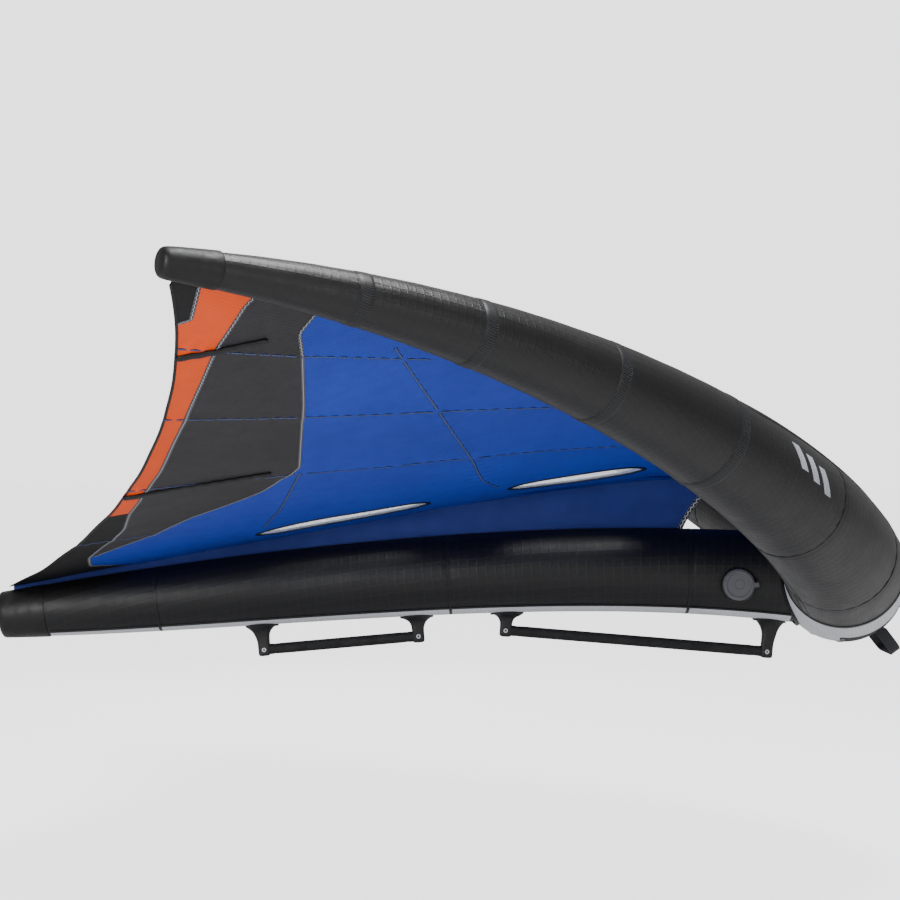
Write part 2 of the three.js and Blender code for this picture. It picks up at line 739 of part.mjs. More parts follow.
/** Solid above the canopy's underside near the keel, used to trim what ends under it. */
function canopyCutter() {
  const keel = keelLine();
  const shape = new THREE.Shape();
  shape.moveTo(keel[0][0], 2 * NOSE_X);
  for (const corner of keel) shape.lineTo(...corner);
  shape.lineTo(keel[keel.length - 1][0], 2 * NOSE_X);
  shape.closePath();
  return solid(plateAcross(shape, BINDING_THICKNESS * 3));
}

// ---------------------------------------------------------------- canopy panels

function windowPrism([rearX, frontX], inset) {
  const shape = new THREE.Shape();
  shape.moveTo(rearX + inset, WINDOW_INNER + inset);
  shape.lineTo(frontX - WINDOW_TAPER - inset, WINDOW_INNER + inset);
  shape.lineTo(frontX - inset, (WINDOW_INNER + WINDOW_OUTER) / 2);
  shape.lineTo(frontX - WINDOW_TAPER - inset, WINDOW_OUTER - inset);
  shape.lineTo(rearX + WINDOW_TAPER + inset, WINDOW_OUTER - inset);
  shape.closePath();
  return solid(new THREE.ExtrudeGeometry(shape, { depth: 700, bevelEnabled: false }));
}

function buildCanopy() {
  const rearEdge = () => 0;
  const frontEdge = () => 1;
  const rearBorder = (t) => along(REAR_BORDER, t);
  const greyBorder = (t) => along(GREY_BORDER, t);
  const tipBorder = (t) => along(TIP_BORDER, t);

  const main = canopyPanel(panelRows(0, MAIN_END - ROW_GAP),
    (t) => (t < GREY_START ? rearBorder(t) : greyBorder(t)), frontEdge, MAIN_COLUMNS);
  let mainSolid = solid(main);
  for (const [place, ends] of Object.entries(WINDOWS)) {
    const film = solid(main).intersect(windowPrism(ends, SEAM_GAP));
    addPair(`canopy_window_${place}`, 'film', geometryOf(film));
    mainSolid = mainSolid.subtract(windowPrism(ends, 0));
  }
  addPair('canopy_main_panel', 'blue', geometryOf(mainSolid));
  addPair('canopy_grey_panel', 'grey',
    canopyPanel(panelRows(GREY_START, GREY_END - ROW_GAP), rearBorder, greyBorder, 5));
  addPair('canopy_trailing_panel', 'orange',
    canopyPanel(panelRows(CORNER_END + ROW_GAP, TRAILING_END - ROW_GAP), tipBorder,
      rearBorder, 2));
  addPair('canopy_tip_patch', 'rubber',
    canopyPanel(panelRows(...TIP_PATCH_ROWS), rearEdge, tipBorder, 2));
  addPair('canopy_rear_corner_patch', 'rubber',
    canopyPanel(panelRows(0, CORNER_END), rearEdge, rearBorder, CORNER_COLUMNS));
}

// ---------------------------------------------------------------- battens

/** Rectangular rings under the canopy along a chord line, from depth top to depth bottom. */
function underCanopy(t, s0, s1, halfWidth, top, bottom) {
  const steps = 6;
  const rings = [];
  for (let i = 0; i <= steps; i += 1) {
    const s = mix(s0, s1, i / steps);
    const point = canopyPoint(t, s);
    const down = canopyNormal(t, s).negate();
    const chordwise = canopyProfile(t).getTangent(s);
    const side = down.clone().cross(chordwise).normalize();
    const corner = (w, d) => point.clone().addScaledVector(side, w).addScaledVector(down, d);
    rings.push([
      corner(-halfWidth, top), corner(halfWidth, top),
      corner(halfWidth, bottom), corner(-halfWidth, bottom),
    ]);
  }
  return solid(loft(rings));
}

function buildBattens() {
  const seat = CANOPY_SHEET / 2 + 2 * GAP;
  for (const [place, [t, rear, front]] of Object.entries(BATTENS)) {
    const half = BATTEN_WIDTH / 2;
    const inner = half + GAP;
    const top = seat + POCKET_WALL;
    const bottom = top + BATTEN_THICKNESS + 2 * GAP;
    const pocket = underCanopy(t, rear, front, inner + POCKET_WALL, seat, bottom + POCKET_WALL)
      .subtract(underCanopy(t, 0, front - 0.004, inner, top, bottom));
    const batten = underCanopy(t, rear + 0.001, front - 0.006, half, top + GAP, bottom - GAP);
    addPair(`batten_pocket_${place}`, 'tape', geometryOf(pocket));
    addPair(`batten_${place}`, 'fibreglass', geometryOf(batten));
  }
}

// ---------------------------------------------------------------- rigid handles

/** Bracket with a saddle flange, drawn with its screw hole at the local origin. */
function bracketBody(inward, placed) {
  const half = POST_WIDTH / 2;
  const flare = FLANGE_LENGTH / 2;
  const shape = new THREE.Shape();
  const [pullOut, pullRise] = FLARE_PULL;
  const [inset, flareRise] = FLARE_TOP;
  shape.moveTo(-half, -FOOT_DROP + FOOT_CORNER);
  shape.quadraticCurveTo(-half, -FOOT_DROP, -half + FOOT_CORNER, -FOOT_DROP);
  shape.lineTo(half - FOOT_CORNER, -FOOT_DROP);
  shape.quadraticCurveTo(half, -FOOT_DROP, half, -FOOT_DROP + FOOT_CORNER);
  shape.lineTo(half, POST_WAIST);
  shape.quadraticCurveTo(half + pullOut, pullRise, flare - inset, flareRise);
  shape.lineTo(flare - inset, POST_RISE);
  shape.lineTo(-flare + inset, POST_RISE);
  shape.lineTo(-flare + inset, flareRise);
  shape.quadraticCurveTo(-half - pullOut, pullRise, -half, POST_WAIST);
  shape.closePath();
  const post = solid(plateAcross(shape, POST_THICKNESS).applyMatrix4(placed));

  const stripOutside = GAP + CASING_WALL;
  const footprint = solid(box(-flare, flare, -FLANGE_WIDTH / 2, FLANGE_WIDTH / 2, 20, POST_RISE + 10)
    .applyMatrix4(placed));
  const flange = strutSolid(0, 1, stripOutside + GAP + FLANGE_THICKNESS).intersect(footprint);

  const slotWidth = TONGUE.width / 2 + SLIDE_GAP;
  const slotHeight = TONGUE.height / 2 + SLIDE_GAP;
  const slotEnd = -inward * (TONGUE.length - half + 1);
  const mouth = inward * (half + 5);
  const slot = solid(box(Math.min(slotEnd, mouth), Math.max(slotEnd, mouth),
    -slotWidth, slotWidth, -slotHeight, slotHeight).applyMatrix4(placed));
  const y = POST_THICKNESS / 2;
  const hole = solid(rodAcross(SCREW.shank + GAP, 0, 0, -y - 1, y + 1, 16)
    .applyMatrix4(placed));
  const counterbore = solid(rodAcross(SCREW.head + GAP, 0, 0, -y - 1,
    -y + SCREW.headHeight - 0.5, 20).applyMatrix4(placed));
  return post.add(flange)
    .subtract(strutSolid(0, 1, stripOutside + GAP))
    .subtract(slot).subtract(hole).subtract(counterbore);
}

function screwBody(placed) {
  const y = POST_THICKNESS / 2;
  const headSeat = -y + SCREW.headHeight - 0.5;
  const head = rodAcross(SCREW.head, 0, 0, headSeat - SCREW.headHeight, headSeat - GAP, 16);
  const shank = rodAcross(SCREW.shank, 0, 0, headSeat - 1, y - 1, 16);
  const socketTop = headSeat - SCREW.headHeight;
  const socket = rodAcross(SCREW.socket, 0, 0, socketTop - 1, socketTop + SCREW.socketDepth, 6);
  return solid(head.applyMatrix4(placed)).add(solid(shank.applyMatrix4(placed)))
    .subtract(solid(socket.applyMatrix4(placed)));
}

function buildHandle(place, { x, z, slope, length }) {
  const tilt = new THREE.Matrix4().makeRotationY(-radians(slope));
  const middle = new THREE.Matrix4().makeTranslation(x, 0, z).multiply(tilt);
  const postFace = length / 2 - POST_WIDTH / 2;

  const grip = new THREE.CylinderGeometry(BAR_RADIUS, BAR_RADIUS, 2 * (postFace - GAP), 16)
    .rotateZ(Math.PI / 2).applyMatrix4(middle);
  const tongueReach = postFace + TONGUE.length;
  const tongue = box(-tongueReach, tongueReach, -TONGUE.width / 2, TONGUE.width / 2,
    -TONGUE.height / 2, TONGUE.height / 2).applyMatrix4(middle);
  let bar = solid(grip).add(solid(tongue));

  for (const [end, side] of [['rear', -1], ['front', 1]]) {
    const placed = middle.clone().multiply(
      new THREE.Matrix4().makeTranslation(side * length / 2, 0, 0));
    const bore = rodAcross(SCREW.shank + GAP, 0, 0, -20, 20, 16).applyMatrix4(placed);
    bar = bar.subtract(solid(bore));
    addPiece(`${place}_handle_bracket_${end}`, 'plastic',
      geometryOf(bracketBody(-side, placed)));
    addPiece(`${place}_handle_screw_${end}`, 'steel', geometryOf(screwBody(placed)));
  }
  addPiece(`${place}_handle_bar`, 'foam', geometryOf(bar));
}

// ---------------------------------------------------------------- inflation valve

/** Y of the strut's right side at the valve. */
const valveWall = -Math.max(...strutRing(0.925, 0).map((p) => p.y));

function buildValve() {
  const face = valveWall - VALVE.flangeRise;
  const at = (radius, from, to, sides) => solid(
    rodAcross(radius, VALVE_X, VALVE_Z, from, to, sides));
  const hingeX = VALVE_X + VALVE.hinge;
  const hingeY = face - VALVE.knuckle - GAP;
  const knuckle = (radius, halfLength) => solid(
    new THREE.CylinderGeometry(radius, radius, 2 * halfLength, 12).rotateX(Math.PI / 2)
      .translate(hingeX, hingeY, VALVE_Z));
  const { lugHalf, knuckleHalf } = VALVE;

  const lugs = solid(box(VALVE_X + VALVE.cap + 1, hingeX + VALVE.knuckle, hingeY,
    valveWall + 30, VALVE_Z - lugHalf, VALVE_Z + lugHalf))
    .add(knuckle(VALVE.knuckle, lugHalf))
    .subtract(solid(box(VALVE_X, hingeX + 9, hingeY - 9, face,
      VALVE_Z - knuckleHalf - GAP, VALVE_Z + knuckleHalf + GAP)))
    .add(knuckle(VALVE.pin, lugHalf));
  const flange = at(VALVE.flange, face, valveWall + 30, 32).add(lugs)
    .subtract(strutSolid(0.5, 1, GAP)).subtract(at(VALVE.body + GAP, face - 20, 0, 24));
  addPiece('valve_flange', 'plastic', geometryOf(flange));

  const inner = face + VALVE.depth;
  const seatTop = inner - VALVE.seatThickness;
  const hub = VALVE.stem + 3;
  const spider = solid(box(VALVE_X - VALVE.bore, VALVE_X + VALVE.bore, seatTop - 2, inner,
    VALVE_Z - 2, VALVE_Z + 2)).add(at(hub, seatTop - 2, inner, 12));
  const body = at(VALVE.body, face, inner, 24)
    .subtract(at(VALVE.bore, face - 1, seatTop, 24))
    .subtract(at(VALVE.seat, face - 1, inner + 1, 24))
    .add(spider)
    .subtract(at(VALVE.stem + SLIDE_GAP, face - 1, inner + 1, 12));
  addPiece('valve_body', 'plastic', geometryOf(body));

  const poppet = at(VALVE.poppet, inner + GAP, inner + GAP + VALVE.poppetThickness, 20)
    .add(at(VALVE.stem, seatTop - 9, inner + GAP + 0.5, 12))
    .add(at(VALVE.button, seatTop - 11, seatTop - 8.5, 12));
  addPiece('valve_poppet', 'rubber', geometryOf(poppet));

  const capBack = face - GAP;
  const tab = solid(box(VALVE_X + VALVE.cap - 4, hingeX, capBack - VALVE.knuckle, capBack,
    VALVE_Z - knuckleHalf, VALVE_Z + knuckleHalf));
  const cap = at(VALVE.cap, capBack - VALVE.capHeight, capBack, 28)
    .add(at(VALVE.plug, capBack - 1, capBack + VALVE.plugDepth, 20))
    .add(tab).add(knuckle(VALVE.knuckle, knuckleHalf))
    .subtract(knuckle(VALVE.pin + GAP, knuckleHalf + 1));
  addPiece('valve_cap', 'rubber', geometryOf(cap));
}

// ---------------------------------------------------------------- nose grab handle

function buildNoseHandle() {
  const rows = rowsBetween(-NOSE_PATCH_END, NOSE_PATCH_END);
  const patch = leadingWrap(rows, ...NOSE_PATCH_ANGLES, WRAP_SEAT, TAPE_THICKNESS);
  addPiece('nose_handle_patch', 'webbing', patch);

  const { width, thickness, halfLength, height, corner } = NOSE_HANDLE;
  const outward = vector(Math.cos(radians(NOSE_HANDLE_ANGLE)), 0,
    Math.sin(radians(NOSE_HANDLE_ANGLE)));
  const frame = new THREE.Matrix4()
    .makeBasis(ACROSS, outward, ACROSS.clone().cross(outward))
    .setPosition(NOSE_X, 0, NOSE_Z);
  const pivot = noseHandlePivot(outward);
  const out = NOSE_RADIUS + height;
  const arch = (inset) => {
    const reach = halfLength - inset;
    const top = out - inset;
    const bend = corner - inset / 2;
    const turn = (side) => new THREE.QuadraticBezierCurve(
      new THREE.Vector2(side * reach, top - bend), new THREE.Vector2(side * (reach - 4), top),
      new THREE.Vector2(side * (reach - bend - 4), top)).getPoints(4);
    return [
      new THREE.Vector2(-reach, pivot), ...turn(-1), ...turn(1).reverse(),
      new THREE.Vector2(reach, pivot),
    ];
  };
  const shape = new THREE.Shape([...arch(0), ...arch(thickness).reverse()]);
  const strip = new THREE.ExtrudeGeometry(shape, { depth: width, bevelEnabled: false })
    .translate(0, 0, -width / 2);
  let loop = solid(strip.applyMatrix4(frame));
  for (const side of [-1, 1]) {
    const end = new THREE.CylinderGeometry(width / 2, width / 2, thickness, 20)
      .rotateZ(Math.PI / 2).translate(side * (halfLength - thickness / 2), pivot, 0);
    loop = loop.add(solid(end.applyMatrix4(frame)));
  }
  addPiece('nose_handle_loop', 'webbing', geometryOf(loop));
}

/** Distance from the nose axis to the pivot that the handle's rounded leg ends lie round. */
function noseHandlePivot(outward) {
  const { width, thickness, halfLength } = NOSE_HANDLE;
  const inner = halfLength - thickness;
  const seat = WRAP_SEAT + TAPE_THICKNESS;
  const facet = Math.floor(NOSE_HANDLE_ANGLE / leadingStep);
  const edgePoint = (step) => {
    const near = leadingFacetPoint(0, step, seat);
    const far = leadingFacetPoint(NOSE_PATCH_END, step, seat);
    return near.lerp(far, inner / far.y);
  };
  const start = edgePoint(facet);
  const run = edgePoint(facet + 1).sub(start).setY(0).normalize();
  const normal = vector(run.z, 0, -run.x);
  const distance = start.sub(vector(NOSE_X, 0, NOSE_Z)).dot(normal);
  return (distance + 2 * GAP + width / 2) / outward.dot(normal);
}

// ---------------------------------------------------------------- assembly

buildLeadingEdge();
buildStrut();
buildWeb();
buildCanopy();
buildBattens();
for (const [place, handle] of Object.entries(HANDLES)) buildHandle(place, handle);
buildValve();
buildNoseHandle();

export default wing;
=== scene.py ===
"""Looks of an inflatable hand wing: tubes, canopy, keel web, handles and valve.

Every piece is a closed surface worked out as whole arrays from the wing's own curves. Lengths
are millimetres until a mesh is made; Blender gets metres.
"""
import logging
from dataclasses import dataclass, field
from enum import Enum
from typing import Callable, Optional, Sequence

import bmesh
import bpy
import numpy as np
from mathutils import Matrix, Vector


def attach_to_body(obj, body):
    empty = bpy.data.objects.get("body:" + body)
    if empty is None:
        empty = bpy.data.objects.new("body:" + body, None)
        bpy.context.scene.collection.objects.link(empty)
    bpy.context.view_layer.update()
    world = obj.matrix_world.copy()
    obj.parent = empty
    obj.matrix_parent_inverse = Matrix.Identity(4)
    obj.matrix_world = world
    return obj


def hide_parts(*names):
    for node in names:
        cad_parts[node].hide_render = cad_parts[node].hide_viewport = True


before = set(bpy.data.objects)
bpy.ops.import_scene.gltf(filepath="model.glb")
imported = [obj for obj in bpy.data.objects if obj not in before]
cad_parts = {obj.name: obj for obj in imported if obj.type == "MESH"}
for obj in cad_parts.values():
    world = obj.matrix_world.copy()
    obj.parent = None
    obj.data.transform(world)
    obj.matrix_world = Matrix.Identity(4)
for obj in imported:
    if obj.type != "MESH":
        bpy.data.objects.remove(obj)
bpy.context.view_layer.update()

log = logging.getLogger("hand_wing")
Array = np.ndarray
Pairs = Sequence[Sequence[float]]
MM = 1e-3
UP = np.array([0.0, 0.0, 1.0])
ACROSS = np.array([0.0, 1.0, 0.0])
SHARP = np.radians(38.0)
HALF_SPAN = 1500.0
RING = 96


class Side(Enum):
    """The two halves of the wing; the value is the sign of Y."""

    LEFT = 1
    RIGHT = -1

    @property
    def tag(self) -> str:
        """Ending of the names of the pieces on this side."""
        return self.name.lower()

    def turn(self, points: Array) -> Array:
        """The points moved to this side of the plane of symmetry."""
        return points * np.array([1.0, self.value, 1.0])


class Coords(Enum):
    """Where a pattern reads its place on a piece."""

    SURFACE = "UV"
    SPACE = "Object"


# ------------------------------------------------------------------ array tools

def unit(vectors: Array) -> Array:
    """The vectors divided by their lengths."""
    return vectors / np.maximum(np.linalg.norm(vectors, axis=-1, keepdims=True), 1e-12)


def smooth(x: Array) -> Array:
    """Smooth step: 0 below 0, 1 above 1, 3x^2 - 2x^3 between."""
    x = np.clip(x, 0.0, 1.0)
    return x * x * (3.0 - 2.0 * x)


def broken_line(pairs: Pairs, t: Array) -> Array:
    """Value at t of a broken line given as (t, value) pairs."""
    table = np.asarray(pairs, float)
    return np.interp(t, table[:, 0], table[:, 1])


def bezier(points: Sequence[Array], s: Array) -> Array:
    """Cubic Bezier curve: (1-s)^3 a + 3(1-s)^2 s b + 3(1-s) s^2 c + s^3 d."""
    s = np.asarray(s, float)[..., None]
    v = 1.0 - s
    a, b, c, d = points
    return v ** 3 * a + 3 * v * v * s * b + 3 * v * s * s * c + s ** 3 * d


def circle(count: int, whole: float = 2 * np.pi) -> Array:
    """Even angles once round, the last one step short of the first."""
    return np.linspace(0.0, whole, count, endpoint=False)


def lengths(path: Array) -> Array:
    """Distance along a path of points, from its first point."""
    steps = np.linalg.norm(np.diff(path, axis=0), axis=1)
    return np.concatenate([[0.0], np.cumsum(steps)])


def evenly(path: Array, step: float, *others: Array) -> list[Array]:
    """Resamples a path at even distances.

    Args:
        path: points, one per row.
        step: distance wanted between points, in millimetres.
        others: arrays with one row per point, resampled the same way.

    Returns:
        The new path, then each of the others.
    """
    along = lengths(path)
    count = max(2, int(round(along[-1] / step)) + 1)
    new = np.linspace(0.0, along[-1], count)

    def resample(rows: Array) -> Array:
        """One array at the new distances, column by column."""
        return np.stack([np.interp(new, along, rows[:, k]) for k in range(rows.shape[1])], 1)

    return [resample(path), *(resample(other) for other in others)]


def unrolled(grid: Array) -> Array:
    """Surface coordinates of a grid in metres: mean distances along its rows and columns."""
    down = np.linalg.norm(np.diff(grid, axis=0), axis=2)
    over = np.linalg.norm(np.diff(grid, axis=1), axis=2)
    v = np.concatenate([np.zeros((1, grid.shape[1])), np.cumsum(down, axis=0)])
    u = np.concatenate([np.zeros((grid.shape[0], 1)), np.cumsum(over, axis=1)], axis=1)
    v = np.broadcast_to(v.mean(axis=1, keepdims=True), u.shape)
    return np.stack([u, v], axis=2) * MM


# ------------------------------------------------------------------ meshes

class Shell:
    """Points and faces of one closed mesh, gathered part by part."""

    def __init__(self) -> None:
        """Starts empty."""
        self.points: list[Array] = []
        self.faces: list[Array] = []
        self.uvs: list[Array] = []
        self.count = 0

    def add_points(self, points: Array) -> Array:
        """Adds points and returns their numbers in the same layout."""
        index = self.count + np.arange(points[..., 0].size).reshape(points.shape[:-1])
        self.points.append(points.reshape(-1, 3))
        self.count += index.size
        return index

    def quads(self, index: Array, uv: Array, keep: Optional[Array] = None) -> None:
        """One face per cell of a grid of point numbers, or per kept cell."""
        def corners(a: Array) -> Array:
            """The four corners of every cell of a grid."""
            return np.stack([a[:-1, :-1], a[:-1, 1:], a[1:, 1:], a[1:, :-1]], axis=2)

        chosen = np.ones(np.array(index.shape) - 1, bool) if keep is None else keep
        self.faces.append(corners(index)[chosen])
        self.uvs.append(corners(uv)[chosen])

    def fan(self, ring: Array, points: Array, uv: Array) -> None:
        """Closes a ring of points with triangles round its middle."""
        middle = self.add_points(points.mean(axis=0)[None])[0]
        after = np.roll(ring, -1)
        self.faces.append(np.stack([ring, after, np.full_like(ring, middle)], axis=1))
        here = np.broadcast_to(uv, (len(ring), 2))
        self.uvs.append(np.stack([here, here, here], axis=1))

    def make(self, name: str) -> bpy.types.Object:
        """Makes the mesh object, its faces turned outwards and its hard edges marked."""
        points = np.concatenate(self.points) * MM
        mesh = bpy.data.meshes.new(name)
        mesh.vertices.add(len(points))
        mesh.vertices.foreach_set("co", points.ravel())
        sizes = np.concatenate([np.full(len(f), f.shape[1]) for f in self.faces])
        corners = np.concatenate([f.ravel() for f in self.faces])
        mesh.loops.add(len(corners))
        mesh.loops.foreach_set("vertex_index", corners.astype(np.int32))
        mesh.polygons.add(len(sizes))
        starts = np.concatenate([[0], np.cumsum(sizes)[:-1]])
        mesh.polygons.foreach_set("loop_start", starts.astype(np.int32))
        mesh.update(calc_edges=True)
        layer = mesh.uv_layers.new(name="surface")
        layer.data.foreach_set("uv", np.concatenate([u.reshape(-1) for u in self.uvs]))
        work = bmesh.new()
        work.from_mesh(mesh)
        loose = [v for v in work.verts if not v.link_faces]
        bmesh.ops.delete(work, geom=loose, context="VERTS")
        bmesh.ops.remove_doubles(work, verts=work.verts, dist=1e-6)
        bmesh.ops.recalc_face_normals(work, faces=work.faces)
        work.to_mesh(mesh)
        work.free()
        mesh.polygons.foreach_set("use_smooth", np.ones(len(mesh.polygons), bool))
        mesh.set_sharp_from_angle(angle=SHARP)
        mesh.update()
        piece = bpy.data.objects.new(name, mesh)
        bpy.context.scene.collection.objects.link(piece)
        return piece


def slab(name: str, lower: Array, upper: Array, uv: Optional[Array] = None,
         keep: Optional[Array] = None) -> bpy.types.Object:
    """A thin closed body between two grids of points.

    Args:
        name: name of the piece.
        lower: grid of points of one face.
        upper: grid of points of the other face.
        uv: surface coordinates of the grid; measured along the upper face if left out.
        keep: which cells of the grid are cloth; the others are open.

    Returns:
        The mesh object.
    """
    uv = unrolled(upper) if uv is None else uv
    keep = np.ones(np.array(uv.shape[:2]) - 1, bool) if keep is None else keep
    shell = Shell()
    low, high = shell.add_points(lower), shell.add_points(upper)
    shell.quads(low, uv, keep)
    shell.quads(high, uv, keep)
    edged = np.pad(keep, 1)
    for axis in (0, 1):
        near = edged[:-1, 1:-1] if axis == 0 else edged[1:-1, :-1]
        far = edged[1:, 1:-1] if axis == 0 else edged[1:-1, 1:]
        i, j = np.nonzero(near != far)
        k, m = (i, j + 1) if axis == 0 else (i + 1, j)
        shell.faces.append(np.stack([low[i, j], low[k, m], high[k, m], high[i, j]], axis=1))
        shell.uvs.append(np.stack([uv[i, j], uv[k, m], uv[k, m], uv[i, j]], axis=1))
    return shell.make(name)


def tube(name: str, rings: Array, uv: Optional[Array] = None,
         joined: bool = False) -> bpy.types.Object:
    """A closed body through a row of rings.

    Args:
        name: name of the piece.
        rings: points, rings by points of a ring.
        uv: surface coordinates with one more column than the rings; measured if left out.
        joined: the last ring meets the first, so the body has no ends.

    Returns:
        The mesh object.
    """
    around = np.concatenate([rings, rings[:, :1]], axis=1)
    if uv is None:
        uv = unrolled(around)
    shell = Shell()
    index = shell.add_points(rings)
    cells = np.concatenate([index, index[:, :1]], axis=1)
    if joined:
        cells = np.concatenate([cells, cells[:1]])
        uv = np.concatenate([uv, uv[-1:] + (uv[-1:] - uv[-2:-1])])
    shell.quads(cells, uv)
    if not joined:
        shell.fan(index[0], rings[0], uv[0, 0])
        shell.fan(index[-1], rings[-1], uv[-1, 0])
    return shell.make(name)


def tape_outline(width: float, over: float, under: float) -> Array:
    """Outline of a sewn tape: a flat strip with soft edges, over and under its middle line."""
    half = width / 2
    return np.array([
        [-half, 0.5 * (over - under)], [-0.9 * half, over], [-0.35 * half, over * 1.08],
        [0.35 * half, over * 1.08], [0.9 * half, over], [half, 0.5 * (over - under)],
        [0.9 * half, -under], [-0.9 * half, -under],
    ])


def round_outline(half_width: float, half_height: float, power: float, count: int) -> Array:
    """Superellipse |x/a|^n + |y/b|^n = 1 as points by angle."""
    angle = circle(count)
    c, s = np.cos(angle), np.sin(angle)
    return np.stack([
        half_width * np.sign(c) * np.abs(c) ** (2 / power),
        half_height * np.sign(s) * np.abs(s) ** (2 / power),
    ], axis=1)


def strip(name: str, path: Array, normal: Array, outline: Array, joined: bool = False,
          widths: Optional[Array] = None) -> bpy.types.Object:
    """An outline carried along a path: point + side * a + normal * b, side = normal x path.

    Args:
        name: name of the piece.
        path: points of the path.
        normal: direction of the outline's height at each point.
        outline: (across, height) points of the outline.
        joined: the path is a loop.
        widths: share of the outline's width at each point.

    Returns:
        The mesh object.
    """
    if joined:
        ahead = unit(np.roll(path, -1, axis=0) - np.roll(path, 1, axis=0))
    else:
        ahead = unit(np.gradient(path, axis=0))
    side = unit(np.cross(normal, ahead))
    normal = unit(np.cross(ahead, side))
    share = np.ones(len(path)) if widths is None else widths
    across = outline[None, :, 0] * share[:, None]
    rings = path[:, None] + side[:, None] * across[..., None] \
        + normal[:, None] * np.broadcast_to(outline[:, 1], across.shape)[..., None]
    half = np.abs(outline[:, 0]).max()
    v = np.concatenate([outline[:, 0], outline[:1, 0]]) / half
    u = lengths(path) * MM
    uv = np.stack(np.broadcast_arrays(u[:, None], v[None, :]), axis=2)
    return tube(name, rings, uv, joined)


# ------------------------------------------------------------------ shader groups

Link = object


def shaded(code: str, share: float) -> tuple[float, float, float, float]:
    """A colour darkened to a share of its light."""
    return (*(share * part for part in tone(code)[:3]), 1.0)


def tone(code: str) -> tuple[float, float, float, float]:
    """A colour written as six hex digits, as linear light."""
    parts = np.array([int(code[i:i + 2], 16) / 255 for i in (0, 2, 4)])
    linear = np.where(parts <= 0.04045, parts / 12.92, ((parts + 0.055) / 1.055) ** 2.4)
    return (*linear.tolist(), 1.0)


class Sketch:
    """Adds nodes to a tree and links or sets their inputs."""

    def __init__(self, tree: bpy.types.NodeTree) -> None:
        """Args: tree: the node tree to draw in."""
        self.tree = tree

    def put(self, socket: bpy.types.NodeSocket, value: Link) -> None:
        """Links a socket to another, or sets its value."""
        if isinstance(value, bpy.types.NodeSocket):
            self.tree.links.new(value, socket)
        else:
            socket.default_value = value

    def node(self, kind: str, **settings: object) -> bpy.types.Node:
        """Adds a node; settings with a capital are inputs, the others are its options."""
        made = self.tree.nodes.new(kind)
        for key, value in settings.items():
            if key[0].isupper():
                self.put(made.inputs[key.replace("_", " ")], value)
            else:
                setattr(made, key, value)
        return made

    def math(self, operation: str, *values: Link) -> bpy.types.NodeSocket:
        """The result of a Math node."""
        made = self.tree.nodes.new("ShaderNodeMath")
        made.operation = operation
        for socket, value in zip(made.inputs, values):
            self.put(socket, value)
        return made.outputs[0]

    def ranged(self, value: Link, low: float, high: float, to_low: float,
               to_high: float) -> bpy.types.NodeSocket:
        """A value moved from one range to another, held at both ends."""
        made = self.node("ShaderNodeMapRange", Value=value)
        for key, number in (("From Min", low), ("From Max", high), ("To Min", to_low),
                            ("To Max", to_high)):
            made.inputs[key].default_value = number
        return made.outputs["Result"]

    def blend(self, share: Link, first: Link, second: Link) -> bpy.types.NodeSocket:
        """A colour between two others."""
        made = self.node("ShaderNodeMix", data_type="RGBA")
        self.put(made.inputs[0], share)
        self.put(made.inputs[6], first)
        self.put(made.inputs[7], second)
        return made.outputs[2]


GROUPS: dict[str, bpy.types.NodeTree] = {}


def group(name: str, inputs: dict[str, float], outputs: Sequence[str],
          draw: Callable[[Sketch, dict], dict]) -> bpy.types.NodeTree:
    """A shader group, built once.

    Args:
        name: the group's name.
        inputs: number inputs and their usual values; a Vector input is always added.
        outputs: names of the number outputs.
        draw: adds the nodes, given the input sockets, and returns the output sockets.

    Returns:
        The node tree of the group.
    """
    if name not in GROUPS:
        tree = bpy.data.node_groups.new(name, "ShaderNodeTree")
        tree.interface.new_socket("Vector", in_out="INPUT", socket_type="NodeSocketVector")
        for key, value in inputs.items():
            socket = tree.interface.new_socket(key, in_out="INPUT",
                                               socket_type="NodeSocketFloat")
            socket.default_value = value
        for key in outputs:
            tree.interface.new_socket(key, in_out="OUTPUT", socket_type="NodeSocketFloat")
        entry = tree.nodes.new("NodeGroupInput")
        leave = tree.nodes.new("NodeGroupOutput")
        results = draw(Sketch(tree), {s.name: s for s in entry.outputs})
        for key in outputs:
            tree.links.new(results[key], leave.inputs[key])
        GROUPS[name] = tree
    return GROUPS[name]


def draw_weave(art: Sketch, given: dict) -> dict:
    """Ripstop: |cos(pi u)|^k and |cos(pi v)|^k lines over fine threads eight to a cell."""
    axes = art.node("ShaderNodeSeparateXYZ", Vector=given["Vector"])
    u = art.math("DIVIDE", axes.outputs["X"], given["Cell"])
    v = art.math("DIVIDE", axes.outputs["Y"], given["Cell"])

    def line(value: Link) -> Link:
        """Thin lines once a cell."""
        wave = art.math("ABSOLUTE", art.math("COSINE", art.math("MULTIPLY", value, np.pi)))
        return art.math("POWER", wave, given["Fineness"])

    def thread(value: Link) -> Link:
        """Threads eight to a cell."""
        return art.math("SINE", art.math("MULTIPLY", value, 16 * np.pi))

    lines = art.math("MAXIMUM", line(u), line(v))
    fine = art.math("MULTIPLY", thread(u), thread(v))
    height = art.math("MULTIPLY_ADD", fine, 0.25, lines)
    return {"Lines": lines, "Height": height}


